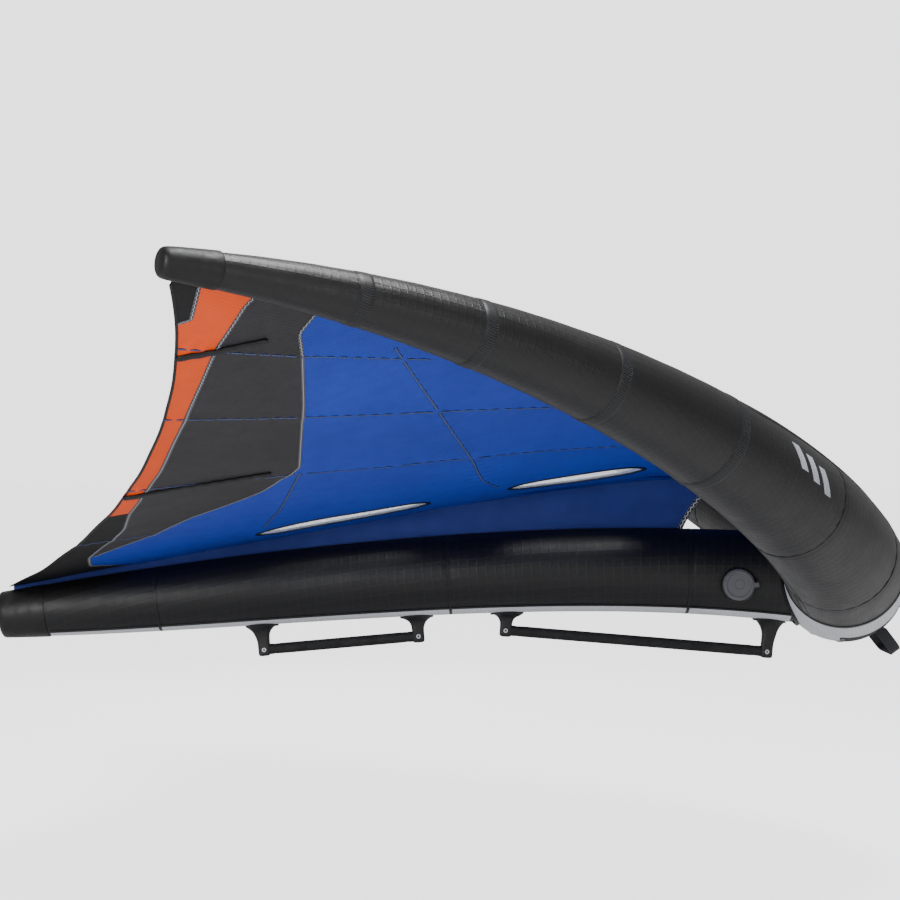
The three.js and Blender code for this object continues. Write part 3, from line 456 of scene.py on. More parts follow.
def draw_mottle(art: Sketch, given: dict) -> dict:
    """Soft uneven patches from two sizes of noise."""
    broad = art.node("ShaderNodeTexNoise", Vector=given["Vector"], Scale=given["Scale"],
                     Detail=3.0)
    fine = art.node("ShaderNodeTexNoise", Vector=given["Vector"], Detail=2.0,
                    Scale=art.math("MULTIPLY", given["Scale"], 9.0))
    mixed = art.math("MULTIPLY_ADD", fine.outputs["Fac"], 0.35,
                     art.math("MULTIPLY", broad.outputs["Fac"], 0.65))
    return {"Value": art.ranged(mixed, 0.35, 0.65, 0.0, 1.0)}


def draw_stitches(art: Sketch, given: dict) -> dict:
    """Zigzag thread: |v - reach * triangle(u / pitch)| below the thread's half width."""
    axes = art.node("ShaderNodeSeparateXYZ", Vector=given["Vector"])
    turn = art.math("PINGPONG", art.math("DIVIDE", axes.outputs["X"], given["Pitch"]), 1.0)
    wave = art.math("MULTIPLY", art.math("MULTIPLY_ADD", turn, 2.0, -1.0), given["Reach"])
    gap = art.math("ABSOLUTE", art.math("SUBTRACT", axes.outputs["Y"], wave))
    zigzag = art.math("LESS_THAN", gap, given["Thread"])
    rows = art.math("ABSOLUTE", art.math(
        "SUBTRACT", art.math("ABSOLUTE", axes.outputs["Y"]), 0.78))
    dash = art.math("LESS_THAN", art.math("FRACT", art.math(
        "DIVIDE", axes.outputs["X"], given["Pitch"])), 0.62)
    edge = art.math("MULTIPLY", art.math("LESS_THAN", rows, 0.07), dash)
    edge = art.math("MULTIPLY", edge, given["Edge rows"])
    return {"Mask": art.math("MAXIMUM", zigzag, edge)}


def draw_pebble(art: Sketch, given: dict) -> dict:
    """Moulded grain: distance to the nearest of scattered points, rounded off."""
    cells = art.node("ShaderNodeTexVoronoi", Vector=given["Vector"], Scale=given["Scale"])
    worn = art.node("ShaderNodeTexNoise", Vector=given["Vector"], Detail=2.0,
                    Scale=art.math("MULTIPLY", given["Scale"], 0.06))
    return {
        "Height": art.ranged(cells.outputs["Distance"], 0.15, 0.75, 1.0, 0.0),
        "Wear": art.ranged(worn.outputs["Fac"], 0.4, 0.7, 0.0, 1.0),
    }


def weave() -> bpy.types.NodeTree:
    """The ripstop group."""
    return group("ripstop", {"Cell": 0.005, "Fineness": 20.0}, ("Lines", "Height"), draw_weave)


def mottle() -> bpy.types.NodeTree:
    """The uneven tone group."""
    return group("mottle", {"Scale": 4.0}, ("Value",), draw_mottle)


def stitches() -> bpy.types.NodeTree:
    """The sewn thread group."""
    return group("stitches", {"Pitch": 0.004, "Reach": 0.3, "Thread": 0.1, "Edge rows": 1.0},
                 ("Mask",), draw_stitches)


def pebble() -> bpy.types.NodeTree:
    """The moulded grain group."""
    return group("pebble", {"Scale": 600.0}, ("Height", "Wear"), draw_pebble)


# ------------------------------------------------------------------ finishes

@dataclass(frozen=True)
class Finish:
    """What every finish has: a name, a colour and a roughness."""

    name: str
    colour: str
    roughness: float = 0.6
    gloss: float = 0.35

    def start(self) -> tuple[Sketch, bpy.types.Node]:
        """A new material with a Principled shader, and the sketch that draws in it."""
        material = bpy.data.materials.new(self.name)
        material.use_nodes = True
        art = Sketch(material.node_tree)
        shader = material.node_tree.nodes["Principled BSDF"]
        shader.inputs["Base Color"].default_value = tone(self.colour)
        shader.inputs["Roughness"].default_value = self.roughness
        shader.inputs["Specular IOR Level"].default_value = self.gloss
        return art, shader

    def place(self, art: Sketch, coords: Coords) -> bpy.types.NodeSocket:
        """The socket that a pattern reads its place from."""
        return art.node("ShaderNodeTexCoord").outputs[coords.value]

    def use(self, art: Sketch, tree: bpy.types.NodeTree, **inputs: Link) -> bpy.types.Node:
        """Adds a group node and sets its inputs."""
        made = art.node("ShaderNodeGroup", node_tree=tree)
        for key, value in inputs.items():
            art.put(made.inputs[key.replace("_", " ")], value)
        return made

    def patches(self, art: Sketch, scale: float) -> bpy.types.NodeSocket:
        """Soft uneven patches over the whole piece."""
        where = self.place(art, Coords.SPACE)
        return self.use(art, mottle(), Scale=scale, Vector=where).outputs["Value"]

    def roughened(self, art: Sketch, shader: bpy.types.Node, share: Link, less: float,
                  more: float) -> None:
        """Lets the roughness wander from a little less to a little more."""
        art.put(shader.inputs["Roughness"], art.ranged(
            share, 0.0, 1.0, self.roughness - less, self.roughness + more))

    def raised(self, art: Sketch, shader: bpy.types.Node, height: Link, depth: float,
               strength: float = 1.0) -> None:
        """Gives the shader a bump from a height."""
        bump = art.node("ShaderNodeBump", Height=height)
        bump.inputs["Distance"].default_value = depth
        bump.inputs["Strength"].default_value = strength
        art.put(shader.inputs["Normal"], bump.outputs["Normal"])

    def build(self) -> bpy.types.Material:
        """Makes the material. Each finish draws its own."""
        raise NotImplementedError


@dataclass(frozen=True)
class Cloth(Finish):
    """Woven cloth with ripstop lines, uneven tone and a soft sheen."""

    thread: str = "3a3a3e"
    cell: float = 0.006
    line_share: float = 0.5
    shade: float = 0.25
    depth: float = 0.0002
    turn: float = 0.0
    sheen: float = 0.15

    def build(self) -> bpy.types.Material:
        """Ripstop lines over a mottled colour; the same lines raise the surface."""
        art, shader = self.start()
        here = self.place(art, Coords.SURFACE)
        turned = art.node("ShaderNodeMapping", Vector=here)
        turned.inputs["Rotation"].default_value = (0.0, 0.0, np.radians(self.turn))
        cloth = self.use(art, weave(), Vector=turned.outputs[0], Cell=self.cell)
        patches = self.patches(art, 3.0)
        dark = shaded(self.colour, 1.0 - self.shade)
        base = art.blend(patches, tone(self.colour), dark)
        lines = art.math("MULTIPLY", cloth.outputs["Lines"], self.line_share)
        art.put(shader.inputs["Base Color"], art.blend(lines, base, tone(self.thread)))
        self.roughened(art, shader, patches, 0.05, 0.07)
        shader.inputs["Sheen Weight"].default_value = self.sheen
        shader.inputs["Sheen Roughness"].default_value = 0.4
        self.raised(art, shader, cloth.outputs["Height"], self.depth)
        return bpy.data.materials[self.name]


@dataclass(frozen=True)
class Tape(Finish):
    """Sewn tape: plain woven strip with zigzag thread and two rows of dashes."""

    thread: str = "8f9298"
    pitch: float = 0.005
    reach: float = 0.3
    width: float = 0.12
    rows: float = 1.0

    def build(self) -> bpy.types.Material:
        """The thread shows in the colour and stands up a little."""
        art, shader = self.start()
        here = self.place(art, Coords.SURFACE)
        sewn = self.use(art, stitches(), Vector=here, Pitch=self.pitch, Reach=self.reach,
                        Thread=self.width, Edge_rows=self.rows)
        base = art.blend(self.patches(art, 12.0), tone(self.colour), shaded(self.colour, 0.7))
        art.put(shader.inputs["Base Color"],
                art.blend(sewn.outputs["Mask"], base, tone(self.thread)))
        self.raised(art, shader, sewn.outputs["Mask"], 0.0003)
        return bpy.data.materials[self.name]


@dataclass(frozen=True)
class Moulded(Finish):
    """Moulded plastic, rubber or foam with a fine grain, polished where hands rub it."""

    grain: float = 450.0
    depth: float = 0.0003
    bare: str = "2c2c30"

    def build(self) -> bpy.types.Material:
        """The grain raises the surface and its tops are a little paler; the roughness wanders
        in patches.
        """
        art, shader = self.start()
        made = self.use(art, pebble(), Scale=self.grain,
                        Vector=self.place(art, Coords.SPACE))
        tops = art.math("MULTIPLY", made.outputs["Height"], 0.45)
        art.put(shader.inputs["Base Color"], art.blend(tops, tone(self.colour),
                                                       tone(self.bare)))
        self.roughened(art, shader, made.outputs["Wear"], 0.1, 0.08)
        self.raised(art, shader, made.outputs["Height"], self.depth)
        return bpy.data.materials[self.name]


@dataclass(frozen=True)
class Webbing(Finish):
    """Ribbed webbing: raised cords along the strip with a fine cross weave."""

    rib: str = "3c3c42"
    ribs: float = 6.0

    def build(self) -> bpy.types.Material:
        """Cords where |sin| of the place across is high, crossed by fine threads."""
        art, shader = self.start()
        axes = art.node("ShaderNodeSeparateXYZ", Vector=self.place(art, Coords.SURFACE))
        wave = art.math("SINE", art.math("MULTIPLY", axes.outputs["Y"], self.ribs * np.pi / 2))
        cord = art.math("ABSOLUTE", wave)
        cross = art.math("SINE", art.math("MULTIPLY", axes.outputs["X"], 2 * np.pi / 0.0016))
        height = art.math("MULTIPLY_ADD", cross, 0.12, cord)
        share = art.ranged(cord, 0.4, 1.0, 0.0, 0.9)
        art.put(shader.inputs["Base Color"],
                art.blend(share, tone(self.colour), tone(self.rib)))
        self.raised(art, shader, height, 0.0006)
        return bpy.data.materials[self.name]


@dataclass(frozen=True)
class Film(Finish):
    """Clear window film, a little milky and scuffed."""

    cover: float = 0.42

    def build(self) -> bpy.types.Material:
        """Plain see-through shader; only its roughness and bump vary."""
        art, shader = self.start()
        patches = self.patches(art, 9.0)
        self.roughened(art, shader, patches, 0.0, 0.12)
        shader.inputs["Alpha"].default_value = self.cover
        shader.inputs["IOR"].default_value = 1.5
        self.raised(art, shader, patches, 0.002, 0.35)
        return bpy.data.materials[self.name]


@dataclass(frozen=True)
class Steel(Finish):
    """Turned stainless steel."""

    def build(self) -> bpy.types.Material:
        """Bright metal whose roughness wanders."""
        art, shader = self.start()
        shader.inputs["Metallic"].default_value = 1.0
        self.roughened(art, shader, self.patches(art, 300.0), 0.08, 0.15)
        return bpy.data.materials[self.name]


FINISHES: dict[str, Finish] = {finish.name: finish for finish in (
    Cloth("charcoal_dacron", "101012", 0.38, 0.4, thread="08080a", cell=0.017, line_share=0.45,
          depth=0.0002, sheen=0.02),
    Cloth("strut_dacron", "0d0d0f", 0.46, thread="1c1c20", cell=0.021, line_share=0.3,
          depth=0.0002, sheen=0.0),
    Cloth("pale_dacron", "cfd1d6", 0.6, thread="a9abb2", cell=0.009, line_share=0.4,
          shade=0.12),
    Cloth("grey_dacron", "232428", 0.42, thread="131316", cell=0.017, line_share=0.35,
          sheen=0.02),
    Cloth("blue_ripstop", "0838b8", 0.5, thread="2a62d8", cell=0.007, line_share=0.3,
          turn=45.0, shade=0.25, sheen=0.0),
    Cloth("deep_blue_ripstop", "06227a", 0.52, thread="143fa0", cell=0.007, line_share=0.3,
          turn=45.0, shade=0.3, sheen=0.0),
    Cloth("grey_ripstop", "2b2a2d", 0.55, thread="454448", cell=0.007, line_share=0.35,
          turn=45.0, shade=0.2, sheen=0.02),
    Cloth("orange_ripstop", "ff4e00", 0.5, thread="ff8a24", cell=0.007, line_share=0.3,
          turn=45.0, shade=0.12, sheen=0.0),
    Cloth("black_patch", "0d0d0f", 0.6, thread="1c1c20", cell=0.004, line_share=0.5,
          depth=0.0004, sheen=0.0),
    Cloth("bladder_film", "c8ccd0", 0.35, thread="dfe2e6", cell=0.02, line_share=0.2),
    Tape("black_tape", "0b0b0d", 0.45, thread="26272b"),
    Tape("outline_tape", "17181b", 0.5, thread="a9acb5", pitch=0.006, width=0.26),
    Tape("crease_seam", "12265c", 0.5, thread="7f8cab", pitch=0.005, width=0.2, rows=0.0),
    Tape("pale_mark", "b6b9bf", 0.5, thread="9da1a8", rows=0.0),
    Moulded("pebbled_plastic", "0b0b0d", 0.45, grain=420.0, bare="1c1c20"),
    Moulded("grip_foam", "09090b", 0.65, grain=700.0, depth=0.0004, bare="18181b"),
    Moulded("black_rubber", "0b0b0d", 0.5, grain=900.0, depth=0.0001, bare="17171a"),
    Moulded("valve_rubber", "050506", 0.55, 0.15, grain=1200.0, depth=0.0001, bare="0e0e10"),
    Moulded("batten_glass", "d0c9ae", 0.4, grain=1500.0, depth=0.0001, bare="e8e2c8"),
    Webbing("grey_webbing", "0f0f12", 0.7),
    Film("window_film", "e4ebf2", 0.06),
    Steel("screw_steel", "c2c5ca", 0.28),
)}
BUILT: dict[str, bpy.types.Material] = {}


def material_of(finish: str) -> bpy.types.Material:
    """The material of a finish, built the first time it is asked for."""
    if finish not in BUILT:
        BUILT[finish] = FINISHES[finish].build()
    return BUILT[finish]


def place(piece: bpy.types.Object, finish: str, slot: str, nodes: Sequence[str] = (),
          body: str = "wing") -> bpy.types.Object:
    """Dresses a piece, seats it on its body and hides the nodes that it stands for.

    Args:
        piece: the finished mesh object.
        finish: name of its finish.
        slot: the record's material slot; not used.
        nodes: CAD nodes that it replaces.
        body: the body that it rides on.

    Returns:
        The same object.
    """
    piece.data.materials.clear()
    piece.data.materials.append(material_of(finish))
    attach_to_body(piece, body)
    if nodes:
        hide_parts(*nodes)
    log.info("%s: %d faces", piece.name, len(piece.data.polygons))
    return piece


# ------------------------------------------------------------------ curves of the wing

@dataclass
class LeadingTube:
    """The inflated leading edge: a tapering tube on a swept, rising axis."""

    half_span: float = HALF_SPAN
    nose: tuple[float, float] = (480.0, 136.0)
    sweep: float = 1415.0
    rise: float = 634.0
    radii: tuple[float, float] = (140.0, 26.0)
    taper: float = 1.7
    soften: float = 0.03
    seams: tuple[float, ...] = (0.2, 0.365, 0.535, 0.67, 0.787, 0.877)

    def axis(self, t: Array) -> Array:
        """x = nose - sweep t^2, y = half span t, z = nose + rise S(|t|), softened at 0."""
        a = np.abs(t)
        share = 3 * a ** 2 - 2 * a ** 3 + 0.3 * (a ** 3 - 2 * a ** 2 + a) \
            + 0.45 * (a ** 3 - a ** 2)
        share = share + 0.3 * (np.sqrt(t * t + self.soften ** 2) - a)
        return np.stack([self.nose[0] - self.sweep * t * t, self.half_span * t,
                         self.nose[1] + self.rise * share], axis=-1)

    def radius(self, t: Array) -> Array:
        """From the nose's radius to the tip's, by |t| to the power of the taper."""
        return self.radii[0] + (self.radii[1] - self.radii[0]) * np.abs(t) ** self.taper

    def frame(self, t: Array) -> tuple[Array, Array, Array]:
        """Unit tangent, upward and forward directions of the axis."""
        ahead = unit(self.axis(t + 1e-3) - self.axis(t - 1e-3))
        up = unit(UP - ahead * ahead[..., 2:])
        return ahead, up, np.cross(ahead, up)

    def point(self, t: Array, degrees: Array, offset: Array = 0.0) -> Array:
        """Point round the tube (0 forward, 90 up), off its surface by an offset."""
        t, degrees, offset = np.broadcast_arrays(
            np.asarray(t, float), np.asarray(degrees, float), np.asarray(offset, float))
        _, up, forward = self.frame(t)
        reach = (self.radius(t) + offset)[..., None]
        angle = np.radians(degrees)[..., None]
        return self.axis(t) + reach * (forward * np.cos(angle) + up * np.sin(angle))

    def normal(self, t: Array, degrees: Array) -> Array:
        """Outward direction of the tube."""
        return unit(self.point(t, degrees, 1.0) - self.point(t, degrees, 0.0))

    def span_length(self, t: Array) -> Array:
        """Distance along the axis from the nose to t."""
        fine = np.linspace(0.0, 1.0, 801)
        return np.interp(np.abs(t), fine, lengths(self.axis(fine)))

    def relief(self, t: Array, degrees: Array) -> Array:
        """Pinch and puckers at each seam: -a exp(-(d/w)^2) + b exp(-d/v) sin(k angle)."""
        place = self.span_length(t)
        angle = np.radians(degrees)
        lift = 0.3 + 0.3 * np.sin(place / 61.0 + 3.0 * angle) * np.sin(place / 23.0)
        for k, seam in enumerate(self.seams):
            gap = np.abs(place - self.span_length(np.array(seam)))
            lift = lift - 0.8 * np.exp(-(gap / 9.0) ** 2)
            lift = lift + 0.5 * np.exp(-gap / 28.0) * np.sin(26.0 * angle + 1.7 * k)
        return lift


@dataclass
class StrutTube:
    """The inflated centre strut: an arched tube in the plane of symmetry."""

    rear: tuple[float, float] = (-1480.0, 62.0)
    rear_pull: tuple[float, float] = (-900.0, 117.0)
    front_pull: tuple[float, float] = (-150.0, 218.0)
    front: tuple[float, float] = (480.0, 136.0)
    radii: tuple[float, float, float, float] = (52.0, 100.0, 90.0, 106.0)

    def axis(self, u: Array) -> Array:
        """Bezier curve through the four points, in X and Z."""
        corners = [np.array([x, 0.0, z]) for x, z in
                   (self.rear, self.rear_pull, self.front_pull, self.front)]
        return bezier(corners, u)

    def radius(self, u: Array) -> Array:
        """Bezier blend of the four radii."""
        return bezier([np.array([r]) for r in self.radii], u)[..., 0]

    def frame(self, u: Array) -> tuple[Array, Array]:
        """Unit tangent and upward direction."""
        ahead = unit(self.axis(u + 1e-3) - self.axis(u - 1e-3))
        return ahead, np.cross(ahead, np.broadcast_to(ACROSS, ahead.shape))

    def point(self, u: Array, degrees: Array, offset: Array = 0.0) -> Array:
        """Point round the strut (0 left, 90 up), off its surface by an offset."""
        u, degrees, offset = np.broadcast_arrays(
            np.asarray(u, float), np.asarray(degrees, float), np.asarray(offset, float))
        _, up = self.frame(u)
        reach = (self.radius(u) + offset)[..., None]
        angle = np.radians(degrees)[..., None]
        return self.axis(u) + reach * (ACROSS * np.cos(angle) + up * np.sin(angle))

    def share_at(self, x: Array) -> Array:
        """The curve's own share where it reaches an X."""
        fine = np.linspace(0.0, 1.0, 801)
        return np.interp(x, self.axis(fine)[:, 0], fine)

    def underside(self, x: Array, y: Array) -> Array:
        """Height of the strut's lower side at a place in plan."""
        u = self.share_at(x)
        for _ in range(4):
            ahead, up = self.frame(u)
            drop = np.sqrt(np.maximum(self.radius(u) ** 2 - y ** 2, 0.0))
            foot = self.axis(u) - up * drop[..., None]
            u = u + (x - foot[..., 0]) / 2000.0
        return foot[..., 2]


REAR_BORDER = ((0, .06), (.065, .03), (.13, .02), (.27, .02), (.34, .014), (.48, .016),
               (.69, .028), (.81, .068), (.895, .248), (.925, .97), (.95, 1))
GREY_BORDER = ((.13, .0215), (.27, .06), (.34, .1), (.41, .124), (.55, .131), (.62, .143),
               (.75, .193), (.81, .25), (.85, .42), (.88, .97), (.895, 1))
TIP_BORDER = ((.895, 0), (.896, .045), (.95, .2), (.968, .97), (.985, 1))
WINDOW_ENDS = ((-880.0, -486.0), (-300.0, 10.0))
WINDOW_SIDES = (78.0, 158.0)
WINDOW_CLEAR = 195.0
MAIN_END = 1318.5


@dataclass
class CanopySurface:
    """The canopy's curved surface, as a function of span share t and chord share s."""

    tube: LeadingTube
    frames: LeadingTube
    attach: tuple[float, float] = (60.0, 200.0)
    leave: float = 30.0
    reaches: tuple[float, float] = (0.2, 0.84)
    camber: tuple[float, float] = (6.3, 3.5)
    seat: float = 2.3
    cap_start: float = 0.95
    cap_rise: float = 2.7
    trailing_heights: tuple[float, float] = (127.4, 745.6)
    keel_gap: float = 0.4
    creases: list[Array] = field(default_factory=list)

    def trailing(self, t: Array) -> Array:
        """The trailing edge: a Bezier curve from the strut's rear end to the tip."""
        low, high = self.trailing_heights
        rise = high - low
        corners = [np.array(p) for p in (
            (-1474.0, 0.0, low), (-1127.0, 500.0, low + 0.232 * rise),
            (-920.0, 1000.0, low + 0.636 * rise), (-920.0, 1470.0, high))]
        return bezier(corners, t)

    def point(self, t: Array, s: Array) -> Array:
        """Bezier curve along the chord: it leaves the tube at a set angle and has camber."""
        t, s = np.broadcast_arrays(np.asarray(t, float), np.asarray(s, float))
        _, up, ahead_of = self.frames.frame(t)
        seat = self.seat + self.cap_rise * smooth((t - self.cap_start) / 0.016)
        front = self.tube.point(t, self.attach[0] + (self.attach[1] - self.attach[0]) * t,
                                seat)
        rear = self.trailing(t)
        chord = front - rear
        size = np.linalg.norm(chord, axis=-1, keepdims=True)
        along = chord / size
        lift = unit(up - along * (up * along).sum(axis=-1, keepdims=True))
        leave = np.radians(self.leave * (1.0 - t))[..., None]
        rise = np.radians(self.camber[0] + (self.camber[1] - self.camber[0]) * t)[..., None]
        leaving = up * np.sin(leave) - ahead_of * np.cos(leave)
        front_pull = front + self.reaches[0] * size * leaving
        rear_pull = rear + self.reaches[1] * size * (along * np.cos(rise) + lift * np.sin(rise))
        found = bezier([rear, rear_pull, front_pull, front], s)
        found[..., 1] = np.maximum(found[..., 1], self.keel_gap)
        return found

    def normal(self, t: Array, s: Array) -> Array:
        """Upward normal; on the keel line it has no sideways part."""
        t, s = np.broadcast_arrays(np.asarray(t, float), np.asarray(s, float))
        h = 0.004
        chordwise = self.point(t, np.minimum(s + h, 1)) - self.point(t, np.maximum(s - h, 0))
        spanwise = self.point(np.minimum(t + h, 0.999), s) - self.point(
            np.maximum(t - h, 0.0), s)
        spanwise = np.where((t < 0.03)[..., None], ACROSS, spanwise)
        return unit(np.cross(chordwise, spanwise))

    def solve(self, x: Array, y: Array, t: Array, s: Array) -> tuple[Array, Array]:
        """Shares of the surface point above a place in plan, by Newton steps."""
        h = 1e-4
        for _ in range(7):
            here = self.point(t, s)
            by_t = (self.point(t + h, s) - here) / h
            by_s = (self.point(t, s + h) - here) / h
            dx, dy = x - here[..., 0], y - here[..., 1]
            det = by_t[..., 0] * by_s[..., 1] - by_t[..., 1] * by_s[..., 0]
            det = np.where(np.abs(det) < 1e3, -1e6, det)
            t = np.clip(t + (dx * by_s[..., 1] - dy * by_s[..., 0]) / det, 0.0, 0.999)
            s = np.clip(s + (dy * by_t[..., 0] - dx * by_t[..., 1]) / det, 0.0, 1.0)
        return t, s

    def share_of_span(self, y: Array, border: Callable[[Array], Array]) -> Array:
        """Span share at which a border reaches a Y."""
        fine = np.linspace(0.0, 0.4, 1201)
        reached = np.maximum.accumulate(self.point(fine, border(fine))[:, 1])
        reached = reached + np.arange(len(fine)) * 1e-9
        return np.interp(y, reached, fine)

    def relief(self, points: Array) -> Array:
        """Height of the cloth over the plain surface.

        Broad tension waves of 1 to 3 mm run back from the tube and flutter at the trailing
        edge; along each sewn crease the cloth dips by -a exp(-(d/w)^2) and puckers.
        """
        x, y = points[..., 0], points[..., 1]
        edge = self.trailing(np.clip(y / 1480.0, 0, 1))[..., 0]
        back = np.clip(x - edge, 0.0, None)
        lift = 1.6 * np.exp(-back / 90.0) * np.sin(y / 31.0)
        lift = lift + 1.1 * np.sin((x + 0.5 * y) / 47.0) * np.sin((y - 0.3 * x) / 83.0)
        lift = lift + 0.9 * np.sin((x - 0.8 * y) / 29.0) * smooth((x + 100.0) / 500.0)
        for line in self.creases:
            for (x0, y0), (x1, y1) in zip(line[:-1], line[1:]):
                run = np.hypot(x1 - x0, y1 - y0)
                ax, ay = (x1 - x0) / run, (y1 - y0) / run
                place = np.clip((x - x0) * ax + (y - y0) * ay, 0.0, run)
                gap = np.hypot(x - x0 - place * ax, y - y0 - place * ay)
                near = gap < 110.0
                dip = -1.5 * np.exp(-(gap / 14.0) ** 2)
                pucker = 0.9 * np.exp(-gap / 26.0) * np.sin(place / 4.6)
                lift = lift + np.where(near, dip + pucker, 0.0)
        return lift


CREASES = [np.array(line, float) for line in (
    ((-934, 1233), (-721, 1089), (-476, 947)),
    ((-992, 970), (-728, 835), (-537, 748), (-201, 603)),
    ((-1107, 647), (-823, 565), (-545, 471), (-391, 426), (-53, 331)),
    ((-1261, 338), (-1074, 316)),
    ((-542, 1025), (-461, 718), (-391, 426), (-366, 261), (-322, 150)),
    ((-754, 551), (-815, 320), (-859, 195)),
)]
TUBE = LeadingTube()
STRUT = StrutTube()
SURFACE = CanopySurface(TUBE, LeadingTube(soften=0.05), creases=CREASES)


def rounded(path: Array, passes: int = 6, joined: bool = False) -> Array:
    """A path with its corners softened by averaging neighbours; open ends stay."""
    path = path.copy()
    for _ in range(passes):
        if joined:
            path = (np.roll(path, 1, axis=0) + 2 * path + np.roll(path, -1, axis=0)) / 4
        else:
            path[1:-1] = (path[:-2] + 2 * path[1:-1] + path[2:]) / 4
    return path


def straightened(surface: CanopySurface, corners: Pairs) -> Array:
    """A border that runs straight in plan between its corners, as a table of (t, s).

    Args:
        surface: the canopy's surface.
        corners: span and chord shares of the corners, in order of t.

    Returns:
        Fine (t, s) pairs along the border, its corners a little rounded.
    """
    table = np.asarray(corners, float)
    plan = surface.point(table[:, 0], table[:, 1]) * np.array([1.0, 1.0, 0.0])
    along = lengths(plan)
    fine = np.linspace(0.0, along[-1], 700)
    rows = np.column_stack([np.interp(fine, along, column) for column in
                            (plan[:, 0], plan[:, 1], table[:, 0], table[:, 1])])
    rows = rounded(rows, 20)
    t, s = surface.solve(*rows.T)
    return np.column_stack([np.maximum.accumulate(t), s])


BORDERS = {name: straightened(SURFACE, corners) for name, corners in (
    ("rear", REAR_BORDER), ("grey", GREY_BORDER), ("tip", TIP_BORDER))}


# ------------------------------------------------------------------ leading edge

def wrapped(name: str, curve: LeadingTube, t: Array, degrees: Array, under: float,
            over: Array, side: Optional[Side] = None) -> bpy.types.Object:
    """A patch that follows a tube: rows t by angles, between two offsets.

    Args:
        name: name of the piece.
        curve: the tube.
        t: span shares of its rows.
        degrees: angles of its columns.
        under: offset of its inner face.
        over: offset of its outer face, one value or a grid of them.
        side: side of the wing, for a piece drawn on the left half.

    Returns:
        The mesh object.
    """
    rows, columns = t[:, None], degrees[None, :]
    lower = curve.point(rows, columns, under)
    upper = curve.point(rows, columns, over)
    if side is not None:
        lower, upper = side.turn(lower), side.turn(upper)
    return slab(name, lower, upper)


def crown(rows: int, columns: int, low: float, high: float) -> Array:
    """A cushion of heights: high in the middle, low at the rim, (1-a^6)(1-b^6)."""
    a = np.linspace(-1.0, 1.0, rows)[:, None]
    b = np.linspace(-1.0, 1.0, columns)[None, :]
    return low + (high - low) * (1.0 - a ** 6) * (1.0 - b ** 6)


